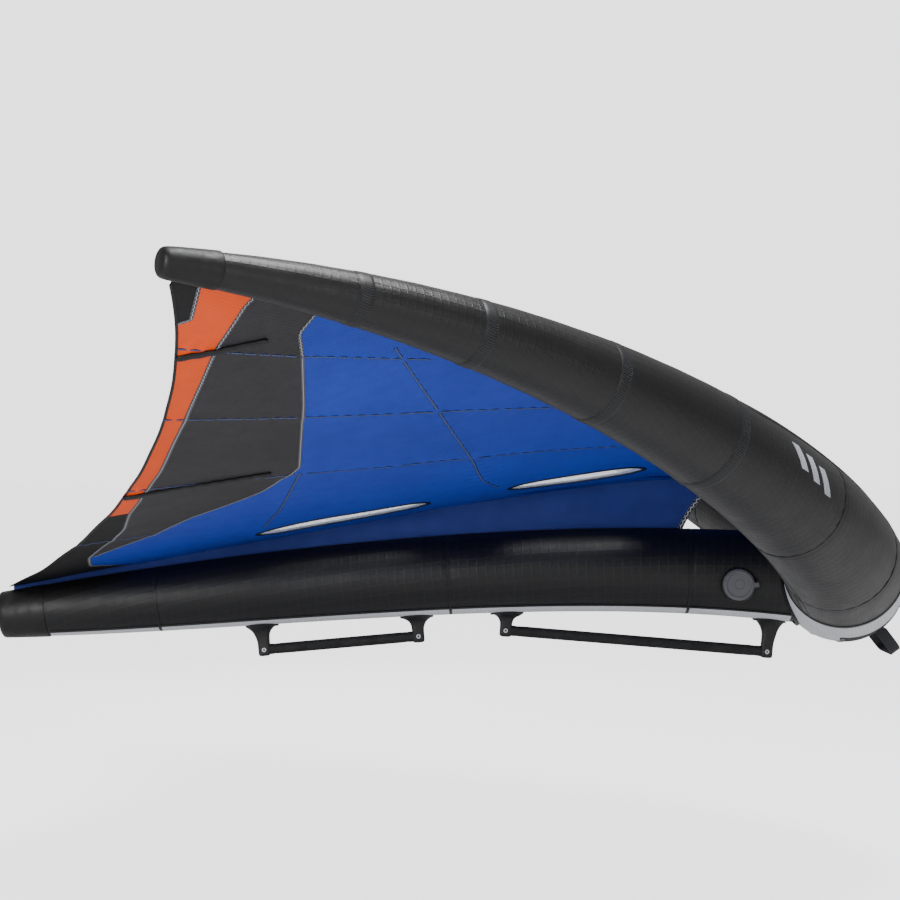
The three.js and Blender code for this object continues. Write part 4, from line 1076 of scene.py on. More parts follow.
@dataclass
class LeadingEdge:
    """Casings, centre panel, bands, seams, tip caps and marks of the leading edge."""

    curve: LeadingTube
    panel_end: float = 0.13
    casing_end: float = 0.985
    plain_seams: int = 2
    band_half: float = 14.0
    pale_edges: tuple[float, float] = (-172.0, -8.0)
    long_seams: tuple = ((-118.0, -150.0), (-126.0, -158.0))
    mark_start: float = 0.405
    mark_step: float = 0.019
    bar_share: float = 0.011
    bar_slant: float = 0.02 / 38.0

    def build(self) -> None:
        """Makes and places every piece of the leading edge."""
        self.build_centre()
        for side in Side:
            self.build_casing(side)
            self.build_tip_cap(side)
            self.build_seams(side)
            self.build_mark(side)
            for number, t in enumerate(self.curve.seams[self.plain_seams:], 1):
                self.build_band(side, number, t)

    def skin(self, name: str, t: Array, side: Side) -> bpy.types.Object:
        """A closed length of the tube with its seams' relief, capped at both ends."""
        rows, columns = t[:, None], circle(RING, 360.0)[None, :]
        lift = self.curve.relief(rows, columns)
        return tube(name, side.turn(self.curve.point(rows, columns, lift)))

    def build_casing(self, side: Side) -> None:
        """The charcoal casing from the centre panel to the tip."""
        t = np.linspace(self.panel_end + 1e-4, self.casing_end, 400)
        name = f"leading_edge_casing_{side.tag}"
        place(self.skin(f"cloth_{name}", t, side), "charcoal_dacron", "casing", [name])

    def build_centre(self) -> None:
        """The nose: one closed length of tube, pale below and in front, dark above."""
        t = np.linspace(-self.panel_end, self.panel_end, 90)
        place(self.skin("cloth_leading_edge_centre", t, Side.LEFT), "grey_dacron",
              "light_dacron", ["leading_edge_centre_panel"])
        under = np.linspace(*self.pale_edges, 60)
        rows = np.linspace(-self.panel_end + 0.003, self.panel_end - 0.003, 90)
        lift = self.curve.relief(rows[:, None], under[None, :])
        pale = wrapped("pale_nose_panel", self.curve, rows, under, -2.0, lift + 1.0)
        place(pale, "pale_dacron", "light_dacron")
        for name, degrees in zip(("rear", "front"), self.pale_edges):
            path = self.curve.point(rows, degrees, 0.9)
            edge = strip(f"nose_panel_edge_{name}", path, self.curve.normal(rows, degrees),
                         tape_outline(9.0, 0.9, 1.5))
            place(edge, "black_tape", "tape")
        for side in Side:
            self.ring(f"nose_seam_{side.tag}", side, self.panel_end, 12.0, "black_tape")

    def ring(self, name: str, side: Side, t: float, width: float, finish: str,
             lift: float = 1.0) -> None:
        """A narrow tape all the way round the tube."""
        degrees = circle(120, 360.0)
        path = side.turn(self.curve.point(t, degrees, lift))
        out = side.turn(self.curve.normal(np.full(len(degrees), t), degrees))
        place(strip(name, path, out, tape_outline(width, 1.0, 2.0), joined=True),
              finish, "tape")

    def build_seams(self, side: Side) -> None:
        """Tapes round the tube, and the long double seam along its back."""
        for number, t in enumerate(self.curve.seams[:self.plain_seams], 1):
            self.ring(f"leading_edge_seam_{number}_{side.tag}", side, t, 7.0, "black_tape",
                      -0.2)
        t = np.linspace(self.panel_end + 0.004, 0.955, 420)
        for number, (near, far) in enumerate(self.long_seams, 1):
            degrees = near + (far - near) * t
            path = side.turn(self.curve.point(t, degrees, 0.2))
            out = side.turn(self.curve.normal(t, degrees))
            seam = strip(f"leading_edge_long_seam_{number}_{side.tag}", path, out,
                         tape_outline(5.0, 0.8, 1.5))
            place(seam, "black_tape", "tape")
        name = f"leading_edge_seam_tape_{side.tag}"
        rows = np.linspace(0.2, 0.523, 150)
        degrees = np.linspace(50.0, 68.0, 14)
        taped = wrapped(f"sewn_{name}", self.curve, rows, degrees, 0.0,
                        crown(150, 14, 0.6, 2.6), side)
        place(taped, "black_tape", "tape", [name])

    def build_band(self, side: Side, number: int, t: float) -> None:
        """A shiny band over the joint between two lengths of tube."""
        name = f"leading_edge_joint_band_{number}_{side.tag}"
        near, far = self.curve.span_length(np.array([t - 0.01, t + 0.01]))
        half = self.band_half / ((far - near) / 0.02)
        rows = np.linspace(t - half, t + half, 9)
        degrees = np.linspace(-150.0, 90.0, 80)
        place(wrapped(f"sewn_{name}", self.curve, rows, degrees, -3.0,
                      crown(9, 80, 0.4, 1.9), side), "black_tape", "tape", [name])

    def build_tip_cap(self, side: Side) -> None:
        """A moulded cap over the tip: the tube's radius plus a wall, rounded at its end."""
        name = f"leading_edge_tip_cap_{side.tag}"
        degrees = circle(64, 360.0)
        t = np.array([.9655, .966, .9665, .972, .98, .988, .993, .996, .998, .9992, 1.0])
        lift = np.array([.5, 2.0, 2.7, 2.7, 2.7, 2.7, 2.6, 2.2, 1.2, -1.0, -5.0])
        rings = self.curve.point(t[:, None], degrees[None, :], lift[:, None])
        place(tube(f"moulded_{name}", side.turn(rings)), "black_rubber", "rubber", [name])

    def build_mark(self, side: Side) -> None:
        """Three plain slanted bars printed on the front of the tube."""
        for number in range(3):
            first = self.mark_start + self.mark_step * number
            t = np.linspace(first, first + self.bar_share, 8)
            degrees = np.linspace(-4.0, 22.0, 30) + 5.0 * number
            slant = self.bar_slant * (degrees - 11.0)
            rows = t[:, None] + slant[None, :]
            lift = self.curve.relief(rows, degrees[None, :])
            lower = side.turn(self.curve.point(rows, degrees[None, :], lift - 0.5))
            upper = side.turn(self.curve.point(rows, degrees[None, :], lift + 0.25))
            place(slab(f"plain_bar_{number + 1}_{side.tag}", lower, upper), "pale_mark",
                  "light_dacron")


# ------------------------------------------------------------------ strut

@dataclass
class Strut:
    """Casing, rear cap, keel strip and front joint of the centre strut."""

    curve: StrutTube
    nose: LeadingTube
    front_end: float = 0.945
    seams: tuple[float, ...] = (-1120.0, -440.0, 120.0)
    strip_edges: tuple[float, float] = (234.0, 306.0)

    def build(self) -> None:
        """Makes and places every piece of the strut."""
        degrees = circle(RING, 360.0)
        u = np.linspace(0.0, self.front_end, 420)
        place(tube("cloth_strut_casing",
                   self.curve.point(u[:, None], degrees, self.relief(u[:, None], degrees))),
              "strut_dacron", "casing", ["strut_casing"])
        self.build_cap(degrees)
        self.build_keel_strip()
        self.build_seams(degrees)

    def relief(self, u: Array, degrees: Array) -> Array:
        """Shallow waves along the cloth and a pinch at each ring seam."""
        x = self.curve.axis(u)[..., 0]
        lift = 0.3 + 0.3 * np.sin(x / 27.0) * np.sin(3 * np.radians(degrees) + x / 90.0)
        for seam in self.seams:
            gap = np.abs(x - seam)
            lift = lift - 0.7 * np.exp(-(gap / 9.0) ** 2)
            lift = lift + 0.4 * np.exp(-gap / 26.0) * np.sin(22 * np.radians(degrees))
        return lift

    def build_cap(self, degrees: Array) -> None:
        """The scuff cap: the strut's radius plus a wall, rounded behind its rear end."""
        u = np.array([0.0, 0.0, 0.0, 0.0, 0.004, 0.02, 0.04, 0.0545, 0.056, 0.0562])
        back = np.array([12.0, 10.5, 7.0, 2.0, 0, 0, 0, 0, 0, 0])
        lift = np.array([-14.0, -5.0, 0.5, 2.6, 2.7, 2.7, 2.7, 2.7, 2.0, 0.3])
        rings = self.curve.point(u[:, None], degrees, lift[:, None])
        ahead, _ = self.curve.frame(np.zeros(1))
        rings = rings - back[:, None, None] * ahead[0]
        place(tube("moulded_strut_rear_cap", rings), "black_rubber", "rubber",
              ["strut_rear_cap"])

    def build_keel_strip(self) -> None:
        """The pale wear strip along the strut's underside, with a dark tape at each edge."""
        u = np.linspace(0.059, 0.94, 420)
        degrees = np.linspace(*self.strip_edges, 30)
        lift = np.clip(self.relief(u[:, None], degrees[None, :]), -1.0, 0.2)
        lower = self.curve.point(u[:, None], degrees[None, :], -1.5)
        upper = self.curve.point(u[:, None], degrees[None, :], lift + 0.7)
        place(slab("cloth_strut_keel_strip", lower, upper), "pale_dacron", "light_dacron",
              ["strut_keel_strip"])
        for name, angle in zip(("right", "left"), self.strip_edges):
            path = self.curve.point(u, angle, 1.0)
            out = unit(self.curve.point(u, angle, 2.0) - self.curve.point(u, angle, 1.0))
            place(strip(f"keel_strip_edge_{name}", path, out, tape_outline(7.0, 0.9, 1.6)),
                  "black_tape", "tape")

    def build_seams(self, degrees: Array) -> None:
        """Ring seams, and the padded joint where the strut meets the leading edge."""
        for number, x in enumerate(self.seams, 1):
            u = float(self.curve.share_at(x))
            path = self.curve.point(u, degrees, 0.1)
            out = unit(path - self.curve.axis(np.array(u)))
            place(strip(f"strut_seam_{number}", path, out, tape_outline(7.0, 0.9, 1.6),
                        joined=True), "black_tape", "tape")
        path = self.joint_line(degrees)
        out = unit(path - self.curve.axis(np.full(len(degrees), 0.9)))
        place(strip("strut_joint_tape", path, out, tape_outline(16.0, 2.2, 3.0), joined=True),
              "black_tape", "tape")

    def joint_line(self, degrees: Array) -> Array:
        """Where the strut's sides run into the leading edge's tube, a little outside both."""
        fine = np.linspace(0.8, 1.0, 241)
        sides = self.curve.point(fine[:, None], degrees[None, :], 1.5)
        t = sides[..., 1] / self.nose.half_span
        away = sides - self.nose.axis(t)
        ahead, _, _ = self.nose.frame(t)
        away = away - ahead * (away * ahead).sum(axis=-1, keepdims=True)
        inside = np.linalg.norm(away, axis=-1) < self.nose.radius(t) + 1.0
        first = np.argmax(inside, axis=0)
        return sides[first, np.arange(len(degrees))]


# ------------------------------------------------------------------ canopy

def rear_border(t: Array) -> Array:
    """Chord share of the seam in front of the corner and trailing panels."""
    return broken_line(BORDERS["rear"], t)


def grey_border(t: Array) -> Array:
    """Chord share of the seam in front of the grey panel."""
    return broken_line(BORDERS["grey"], t)


def main_border(t: Array) -> Array:
    """Chord share of the main panel's rear edge."""
    return np.where(t < GREY_BORDER[0][0], rear_border(t), grey_border(t))


def keelward(tau: Array) -> Array:
    """Weight of the rows laid out in plan: 1 at the keel, easing to 0 further out."""
    return 1.0 - smooth((tau - 0.13) / 0.2)


def tip_border(t: Array) -> Array:
    """Chord share of the tip patch's front edge; nothing inboard of the patch."""
    return broken_line(BORDERS["tip"], t)


@dataclass
class Canopy:
    """The sewn canopy: panels, windows, seams, edge tapes and batten pockets."""

    surface: CanopySurface
    thickness: float = 1.0
    keel_rows: tuple[float, ...] = (0.5, *WINDOW_SIDES, WINDOW_CLEAR)
    keel_counts: tuple[int, ...] = (8, 10, 5)
    column_counts: tuple[int, ...] = (34, 36, 18, 28, 40)
    battens: tuple = (("upper", 0.81, 0.004, 0.17), ("lower", 0.41, 0.003, 0.1))
    batten_drop: float = 3.3

    def build(self) -> None:
        """Makes and places every piece of the canopy."""
        t, s = self.main_shares()
        for side in Side:
            self.build_main(side, t, s)
            self.build_plain_panels(side)
            self.build_seams(side)
            self.build_pockets(side)

    def lifted(self, t: Array, s: Array) -> tuple[Array, Array]:
        """Points of the cloth with its relief, and their normals, on the left half."""
        points = self.surface.point(t, s)
        normals = self.surface.normal(t, s)
        return points + normals * self.surface.relief(points)[..., None], normals

    def cloth(self, name: str, side: Side, t: Array, s: Array, finish: str, slot: str,
              node: str, keep: Optional[Array] = None) -> bpy.types.Object:
        """A panel of cloth over a grid of shares."""
        middle, normals = self.lifted(t, s)
        half = normals * self.thickness / 2
        piece = slab(name, side.turn(middle - half), side.turn(middle + half),
                     uv=middle[..., [1, 0]] * MM, keep=keep)
        place(piece, finish, slot, [node])
        return piece

    def main_shares(self) -> tuple[Array, Array]:
        """Shares of the main panel's grid.

        Near the keel its points are laid out in plan, with columns at the windows' ends and
        rows at their sides; further out its rows are plain span shares, blended between.
        """
        surface = self.surface
        near = [np.linspace(a, b, n, endpoint=False) for a, b, n in
                zip(self.keel_rows, self.keel_rows[1:], self.keel_counts)]
        tau = np.concatenate([*near, np.linspace(WINDOW_CLEAR, MAIN_END, 130)]) / HALF_SPAN
        y = HALF_SPAN * tau
        share = np.concatenate([np.arange(n) / n for n in self.column_counts] + [[0.0]])
        last = len(self.column_counts)
        part = np.concatenate([np.repeat(np.arange(last), self.column_counts), [last]])
        t0 = surface.share_of_span(y, main_border)
        t1 = surface.share_of_span(y, np.ones_like)
        x0 = surface.point(t0, main_border(t0))[:, 0]
        x1 = surface.point(t1, 1.0)[:, 0]
        fixed = [np.full(len(y), x) for x in np.ravel(WINDOW_ENDS)]
        knots = np.stack([x0, *fixed, x1, x1], axis=1)
        x = knots[:, part] + (knots[:, part + 1] - knots[:, part]) * share
        keel_s = (knots[0] - knots[0, 0]) / (knots[0, last] - knots[0, 0])
        column = keel_s[part] + (keel_s[part + 1] - keel_s[part]) * share
        plain_t = np.broadcast_to(tau[:, None], x.shape)
        plain_s = main_border(tau)[:, None] * (1 - column) + column
        low = tau < 0.34
        solved_t, solved_s = plain_t.copy(), plain_s.copy()
        solved_t[low], solved_s[low] = surface.solve(
            x[low], self.spindled(x, y[:, None])[low], plain_t[low], plain_s[low])
        weight = keelward(tau)[:, None]
        t = weight * solved_t + (1 - weight) * plain_t
        s = weight * solved_s + (1 - weight) * plain_s
        s[:, 0], s[:, -1] = main_border(t[:, 0]), 1.0
        return t, s

    def spindled(self, x: Array, y: Array) -> Array:
        """Y of the rows, drawn in towards the windows' middle near their ends."""
        inner, outer = WINDOW_SIDES
        middle, half = (inner + outer) / 2, (outer - inner) / 2
        share = np.ones_like(x)
        for rear, front in WINDOW_ENDS:
            along = np.clip((x - rear) / (front - rear), 0.0, 1.0)
            bulge = 0.2 + 0.8 * np.sqrt(np.clip(1 - np.abs(2 * along - 1) ** 3, 0, 1))
            past = np.maximum(rear - x, x - front)
            share = np.minimum(share, np.where(past > 0, 0.2 + past / 60.0, bulge))
        y = np.broadcast_to(y, x.shape)
        edge = half * share
        within = middle + (y - middle) * share
        below = np.interp(y, [0.0, inner], [0.0, 1.0]) * (middle - edge)
        fade = np.clip((WINDOW_CLEAR - y) / (WINDOW_CLEAR - outer), 0, 1)
        above = y + (edge - half) * fade
        return np.where(y < inner, below, np.where(y > outer, above, within))

    def build_main(self, side: Side, t: Array, s: Array) -> None:
        """The blue main panel with its two openings, and the film and frames in them."""
        keep = np.ones(np.array(t.shape) - 1, bool)
        rows = slice(self.keel_counts[0], sum(self.keel_counts[:2]))
        ends = np.concatenate([[0], np.cumsum(self.column_counts)])
        windows = {"rear": slice(ends[1], ends[2]), "front": slice(ends[3], ends[4])}
        for columns in windows.values():
            keep[rows, columns] = False
        name = f"canopy_main_panel_{side.tag}"
        self.cloth(f"cloth_{name}", side, t, s, "blue_ripstop", "blue", name, keep)
        for end, columns in windows.items():
            name = f"canopy_window_{end}_{side.tag}"
            wide = (slice(rows.start, rows.stop + 1), slice(columns.start, columns.stop + 1))
            self.cloth(f"clear_{name}", side, t[wide], s[wide], "window_film", "film", name)
            middle, normals = self.lifted(t[wide], s[wide])
            path, out = (np.concatenate([a[0], a[1:, -1], a[-1, -2::-1], a[-2:0:-1, 0]])
                         for a in (middle, normals))
            path = rounded(path, 5, joined=True)
            piece = strip(f"frame_{name}", side.turn(path), side.turn(out),
                          tape_outline(11.0, 1.6, 1.6), joined=True)
            place(piece, "black_tape", "tape")

    def build_plain_panels(self, side: Side) -> None:
        """Grey, trailing and tip panels, and the rear corner patch."""
        across = np.linspace(0.0, 1.0, 30)
        for name, first, last, count, low, high, finish, slot in (
            ("canopy_grey_panel", 0.13, 0.9248, 150, rear_border,
             grey_border, "grey_ripstop", "grey"),
            ("canopy_trailing_panel", 0.341, 0.9675, 150, tip_border, rear_border,
             "orange_ripstop", "orange"),
            ("canopy_tip_patch", 0.8963, 0.985, 40, np.zeros_like, tip_border,
             "black_patch", "rubber"),
        ):
            t = np.linspace(first, last, count)[:, None] + 0 * across
            s = low(t) + (high(t) - low(t)) * across
            self.cloth(f"cloth_{name}_{side.tag}", side, t, s, finish, slot,
                       f"{name}_{side.tag}")
        self.build_corner(side, across)

    def build_corner(self, side: Side, across: Array) -> None:
        """The patch at the rear corner of the canopy, laid out in plan near the keel."""
        tau = np.linspace(0.0005, 0.34, 70)
        weight = keelward(tau)
        t0, t1 = (
            weight * self.surface.share_of_span(HALF_SPAN * tau, border) + (1 - weight) * tau
            for border in (np.zeros_like, rear_border))
        t = t0[:, None] + (t1 - t0)[:, None] * across
        s = rear_border(t1)[:, None] * across
        name = f"canopy_rear_corner_patch_{side.tag}"
        self.cloth(f"cloth_{name}", side, t, s, "black_patch", "rubber", name)

    def taped(self, name: str, side: Side, t: Array, s: Array, width: float, height: float,
              finish: str, offset: float = 0.0) -> None:
        """A tape sewn through the cloth along a line of shares."""
        path, out = self.lifted(t, s)
        path, out = evenly(rounded(path, 4), 7.0, out)
        piece = strip(name, side.turn(path + out * offset), side.turn(out),
                      tape_outline(width, height, height))
        place(piece, finish, "tape")

    def build_seams(self, side: Side) -> None:
        """Tapes on the panel borders, the hems, the front edge and the sewn creases."""
        for name, width in (("rear", 9.0), ("grey", 8.0), ("tip", 9.0)):
            t, s = BORDERS[name][4:-4].T
            self.taped(f"canopy_seam_{name}_{side.tag}", side, t, s, width, 1.1,
                       "outline_tape")
        for name, first, last, s, width, finish, offset in (
            ("hem", 0.002, 0.984, 0.001, 6.0, "black_tape", 0.0),
            ("front_tape", 0.005, 0.962, 0.997, 13.0, "outline_tape", -0.4),
        ):
            t = np.linspace(first, last, 500)
            self.taped(f"canopy_{name}_{side.tag}", side, t, np.full_like(t, s), width, 1.2,
                       finish, offset)
        for number, line in enumerate(self.surface.creases, 1):
            along = lengths(np.column_stack([line, np.zeros(len(line))]))
            fine_along = np.linspace(0.0, along[-1], 90)
            x = np.interp(fine_along, along, line[:, 0])
            y = np.interp(fine_along, along, line[:, 1])
            t, s = self.surface.solve(x, y, y / HALF_SPAN + 0.01, np.full(90, 0.4))
            self.taped(f"canopy_crease_{number}_{side.tag}", side, t, s, 6.0, 0.95,
                       "crease_seam")

    def build_pockets(self, side: Side) -> None:
        """Two padded batten pockets under the cloth, and the battens' finish."""
        for name, t, rear, front in self.battens:
            s = np.linspace(rear - 0.002, front + 0.002, 60)
            path, out = self.lifted(np.full(60, t), s)
            path, out = side.turn(path - out * self.batten_drop), side.turn(-out)
            widths = np.sqrt(np.clip(1 - np.linspace(-1, 1, 60) ** 40, 0.3, 1))
            batten = strip(f"flat_batten_{name}_{side.tag}", path[2:-2], out[2:-2],
                           round_outline(7.4, 1.0, 6.0, 16))
            place(batten, "batten_glass", "fibreglass", [f"batten_{name}_{side.tag}"])
            piece = strip(f"sewn_batten_pocket_{name}_{side.tag}", path, out,
                          round_outline(9.3, 2.9, 3.4, 24), widths=widths)
            place(piece, "black_tape", "tape", [f"batten_pocket_{name}_{side.tag}"])


# ------------------------------------------------------------------ keel web

@dataclass
class KeelWeb:
    """The fabric wall between strut and canopy, with its binding and foot tapes."""

    canopy: Canopy
    strut: StrutTube
    rear: float = -1462.0
    foot: float = 98.0
    top: float = 196.0
    hollow: float = 11.0
    half_thickness: float = 0.6
    foot_angle: float = 84.5

    def heights(self, x: Array) -> tuple[Array, Array]:
        """Lower edge inside the strut's top, upper edge just under the canopy."""
        u = np.linspace(0.0, 1.0, 801)
        crest = self.strut.point(u, 90.0)
        low = np.interp(x, crest[:, 0], crest[:, 2]) - 5.0
        keel, _ = self.canopy.lifted(np.full(801, 3e-4), u)
        high = np.interp(x, keel[:, 0], keel[:, 2]) - 0.2
        return low, np.maximum(high, low + 3.0)

    def build(self) -> None:
        """A slab over a grid: along the keel by up the wall, waving gently between."""
        i = np.linspace(0.0, 1.0, 260)[:, None]
        j = np.linspace(0.0, 1.0, 24)[None, :]
        front = self.foot + (self.top - self.foot) * j - 4 * self.hollow * j * (1 - j)
        x = self.rear + (front - self.rear) * i
        low, high = self.heights(x)
        z = low + (high - low) * j
        wave = 2.2 * np.sin(x / 70.0 + z / 45.0) * np.sin(np.pi * j) * np.minimum(
            1.0, (high - low) / 80.0) * smooth((1.0 - i) / 0.05)
        middle = np.stack([x, wave, z], axis=2)
        half = self.half_thickness * ACROSS
        piece = slab("cloth_keel_web", middle - half, middle + half,
                     uv=middle[..., [0, 2]] * MM)
        place(piece, "deep_blue_ripstop", "dark_blue", ["keel_web"])
        edge = middle[-1] + np.array([3.0, 0.0, 0.0])
        bound = strip("sewn_keel_web_binding", edge, np.broadcast_to(ACROSS, edge.shape),
                      tape_outline(12.0, 1.7, 1.7))
        place(bound, "outline_tape", "tape", ["keel_web_binding"])
        self.build_tapes()

    def build_tapes(self) -> None:
        """Tapes on both sides of the wall, lying on the strut."""
        for side in Side:
            u = np.linspace(0.058, float(self.strut.share_at(np.array(self.foot))), 300)
            path = self.strut.point(u, self.foot_angle, 0.6)
            out = unit(self.strut.point(u, self.foot_angle, 1.6) - path)
            place(strip(f"web_foot_tape_{side.tag}", side.turn(path), side.turn(out),
                        tape_outline(15.0, 0.9, 1.2)), "black_tape", "tape")


# ------------------------------------------------------------------ handles

@dataclass
class Handle:
    """A rigid handle: a padded bar between two moulded brackets."""

    name: str
    x: float
    z: float
    slope: float
    length: float
    strut: StrutTube
    bar_radius: float = 12.4
    padding_gap: float = 10.5
    seating: float = 6.0
    screw_rim: float = 6.6
    cheek: float = 12.9

    def axes(self) -> tuple[Array, Array, Array]:
        """Middle of the bar, its direction and the direction away from the ground."""
        turn = np.radians(self.slope)
        ahead = np.array([np.cos(turn), 0.0, np.sin(turn)])
        up = np.array([-np.sin(turn), 0.0, np.cos(turn)])
        return np.array([self.x, 0.0, self.z]), ahead, up

    def build(self) -> None:
        """Makes the bar and both brackets, each bracket with a rim round its screw on either
        side.
        """
        middle, ahead, up = self.axes()
        reach = self.length / 2 - self.padding_gap
        along = np.linspace(-reach, reach, 180)
        near_end = reach - np.abs(along)
        swell = 1.0 - 0.05 * np.exp(-((near_end - 17.0) / 5.0) ** 2)
        swell = swell * (1.0 - 0.03 * np.exp(-((near_end - 26.0) / 2.0) ** 2))
        outline = round_outline(1.0, 1.0, 2.2, 56)
        rings = middle + along[:, None, None] * ahead \
            + self.bar_radius * swell[:, None, None] * (
                outline[None, :, :1] * ACROSS + outline[None, :, 1:] * up)
        bar = f"{self.name}_handle_bar"
        place(tube(f"padded_{bar}", rings), "grip_foam", "foam", [bar])
        for end, way in (("rear", -1.0), ("front", 1.0)):
            self.build_bracket(end, middle + ahead * way * self.length / 2, ahead, up, way)

    def build_bracket(self, end: str, hole: Array, ahead: Array, up: Array,
                      way: float) -> None:
        """Superellipse rings from the foot to the flange, which follows the strut.

        Args:
            end: which end of the bar.
            hole: middle of the screw hole.
            ahead: direction of the bar.
            up: direction towards the strut.
            way: -1 at the rear end, 1 at the front end.
        """
        underside = float(self.strut.underside(hole[:1], hole[1:2])[0])
        rise = (underside - hole[2]) / up[2] - self.seating
        table = np.array([
            [-15.0, 7.0, 7.0, 3.0], [-14.6, 10.5, 9.8, 4.0], [-12.5, 13.0, 12.2, 5.0],
            [-9.0, 13.9, 12.9, 5.0], [0.0, 13.9, 12.9, 5.0], [10.0, 14.0, 12.9, 5.0],
            [20.0, 14.6, 13.0, 4.4], [30.0, 16.2, 13.4, 4.0], [38.0, 18.8, 14.2, 3.6],
            [44.0, 22.4, 15.6, 3.2], [49.0, 27.4, 18.2, 2.8], [53.0, 33.0, 22.0, 2.4],
        ])
        low, top = 14.0, table[-1, 0]
        high = table[:, 0] > low
        table[high, 0] = low + (table[high, 0] - low) * (rise - low) / (top - low)
        fine = np.linspace(table[0, 0], rise, 90)
        sizes = [np.interp(fine, table[:, 0], table[:, k]) for k in (1, 2, 3)]
        rings = []
        for z, a, b, n in zip(fine, *sizes):
            outline = round_outline(a, b, n, 72)
            shift = way * 2.5 * smooth(np.array((z - low) / 30.0))
            rings.append(hole + ahead * (outline[:, :1] + shift) + ACROSS * outline[:, 1:]
                         + up * z)
        for a, b, drop in ((36.5, 25.5, 5.4), (38.8, 28.2, 4.6), (39.5, 29.0, 3.0),
                           (39.0, 28.4, 1.2), (30.0, 20.0, -3.0)):
            outline = round_outline(a, b, 2.1, 72)
            flat = hole + ahead * outline[:, :1] + ACROSS * outline[:, 1:]
            x = flat[:, 0] + up[0] * (rise + self.seating)
            rings.append(np.stack([x, flat[:, 1],
                                   self.strut.underside(x, flat[:, 1]) - drop], axis=1))
        name = f"{self.name}_handle_bracket_{end}"
        place(tube(f"moulded_{name}", np.array(rings)), "pebbled_plastic", "plastic", [name])
        angle = circle(48)[:, None]
        ring = hole + self.screw_rim * (np.cos(angle) * ahead + np.sin(angle) * up)
        for side in Side:
            path = ring + ACROSS * side.value * self.cheek
            out = np.broadcast_to(ACROSS * side.value, path.shape)
            place(strip(f"{self.name}_screw_rim_{end}_{side.tag}", path, out,
                        tape_outline(2.6, 0.9, 1.0), joined=True), "black_rubber", "plastic")


# ------------------------------------------------------------------ valve

@dataclass
class Valve:
    """The inflation valve: flange, hinged cap, tab and hinge knuckles."""

    centre: tuple[float, float] = (228.0, 138.0)
    hinge: float = 272.0
    pin_y: float = -112.822

    def turned(self, name: str, outline: Array) -> bpy.types.Object:
        """A body turned round the valve's axis from (radius, y) outline points."""
        angle = circle(RING)[:, None]
        radius, y = outline[None, :, 0], outline[None, :, 1]
        rings = np.stack(np.broadcast_arrays(
            self.centre[0] + radius * np.cos(angle), y,
            self.centre[1] + radius * np.sin(angle)), axis=2)
        return tube(name, rings, joined=True)

    def build(self) -> None:
        """Flange, cap with its rings, and the hinge's tab and knuckles."""
        flange = np.array([
            [26.4, -82.0], [26.4, -114.6], [27.2, -115.7], [35.5, -115.9], [36.8, -115.3],
            [38.6, -114.6], [39.8, -113.0], [40.0, -110.5], [40.0, -88.0], [39.0, -82.0],
        ])
        place(self.turned("turned_valve_flange", flange), "black_rubber", "plastic",
              ["valve_flange"])
        cap = np.array([
            [0.02, -119.6], [9.0, -119.4], [9.8, -120.6], [11.2, -120.6], [12.0, -119.3],
            [25.0, -118.9], [27.6, -118.9], [28.4, -121.6], [30.4, -121.9], [32.4, -121.6],
            [33.4, -118.6], [34.8, -118.2], [36.0, -117.3], [36.0, -116.5], [19.0, -116.4],
            [18.4, -115.6], [18.2, -113.4], [0.02, -113.4],
        ])
        piece = self.turned("turned_valve_cap", cap)
        place(piece, "valve_rubber", "valve_rubber", ["valve_cap"], body="valve_cap")
        y = np.linspace(0.0, 1.0, 14)
        path = np.stack([258.0 + 15.0 * y, -118.0 + 3.4 * y ** 2,
                         np.full(14, self.centre[1])], axis=1)
        out = np.broadcast_to(-ACROSS, path.shape)
        tab = strip("valve_cap_tab", path, out, tape_outline(11.4, 1.5, 1.3))
        place(tab, "valve_rubber", "valve_rubber", body="valve_cap")
        z = np.linspace(-5.6, 5.6, 12)
        self.knuckle("valve_cap_knuckle", z, 3.5, "valve_rubber", "valve_cap")
        for way, name in ((-1.0, "lower"), (1.0, "upper")):
            self.knuckle(f"valve_lug_{name}", way * np.linspace(6.2, 10.0, 8), 3.7,
                         "black_rubber", "wing")

    def knuckle(self, name: str, z: Array, radius: float, finish: str, body: str) -> None:
        """A short rounded barrel on the hinge's axis."""
        share = np.linspace(-1.0, 1.0, len(z))
        size = radius * (1.0 - 0.25 * share ** 8)
        angle = circle(32)
        rings = np.stack(np.broadcast_arrays(
            self.hinge + size[:, None] * np.cos(angle),
            self.pin_y + size[:, None] * np.sin(angle),
            self.centre[1] + z[:, None]), axis=2)
        slot = "valve_rubber" if body == "valve_cap" else "plastic"
        place(tube(name, rings), finish, slot, body=body)


# ------------------------------------------------------------------ nose handle

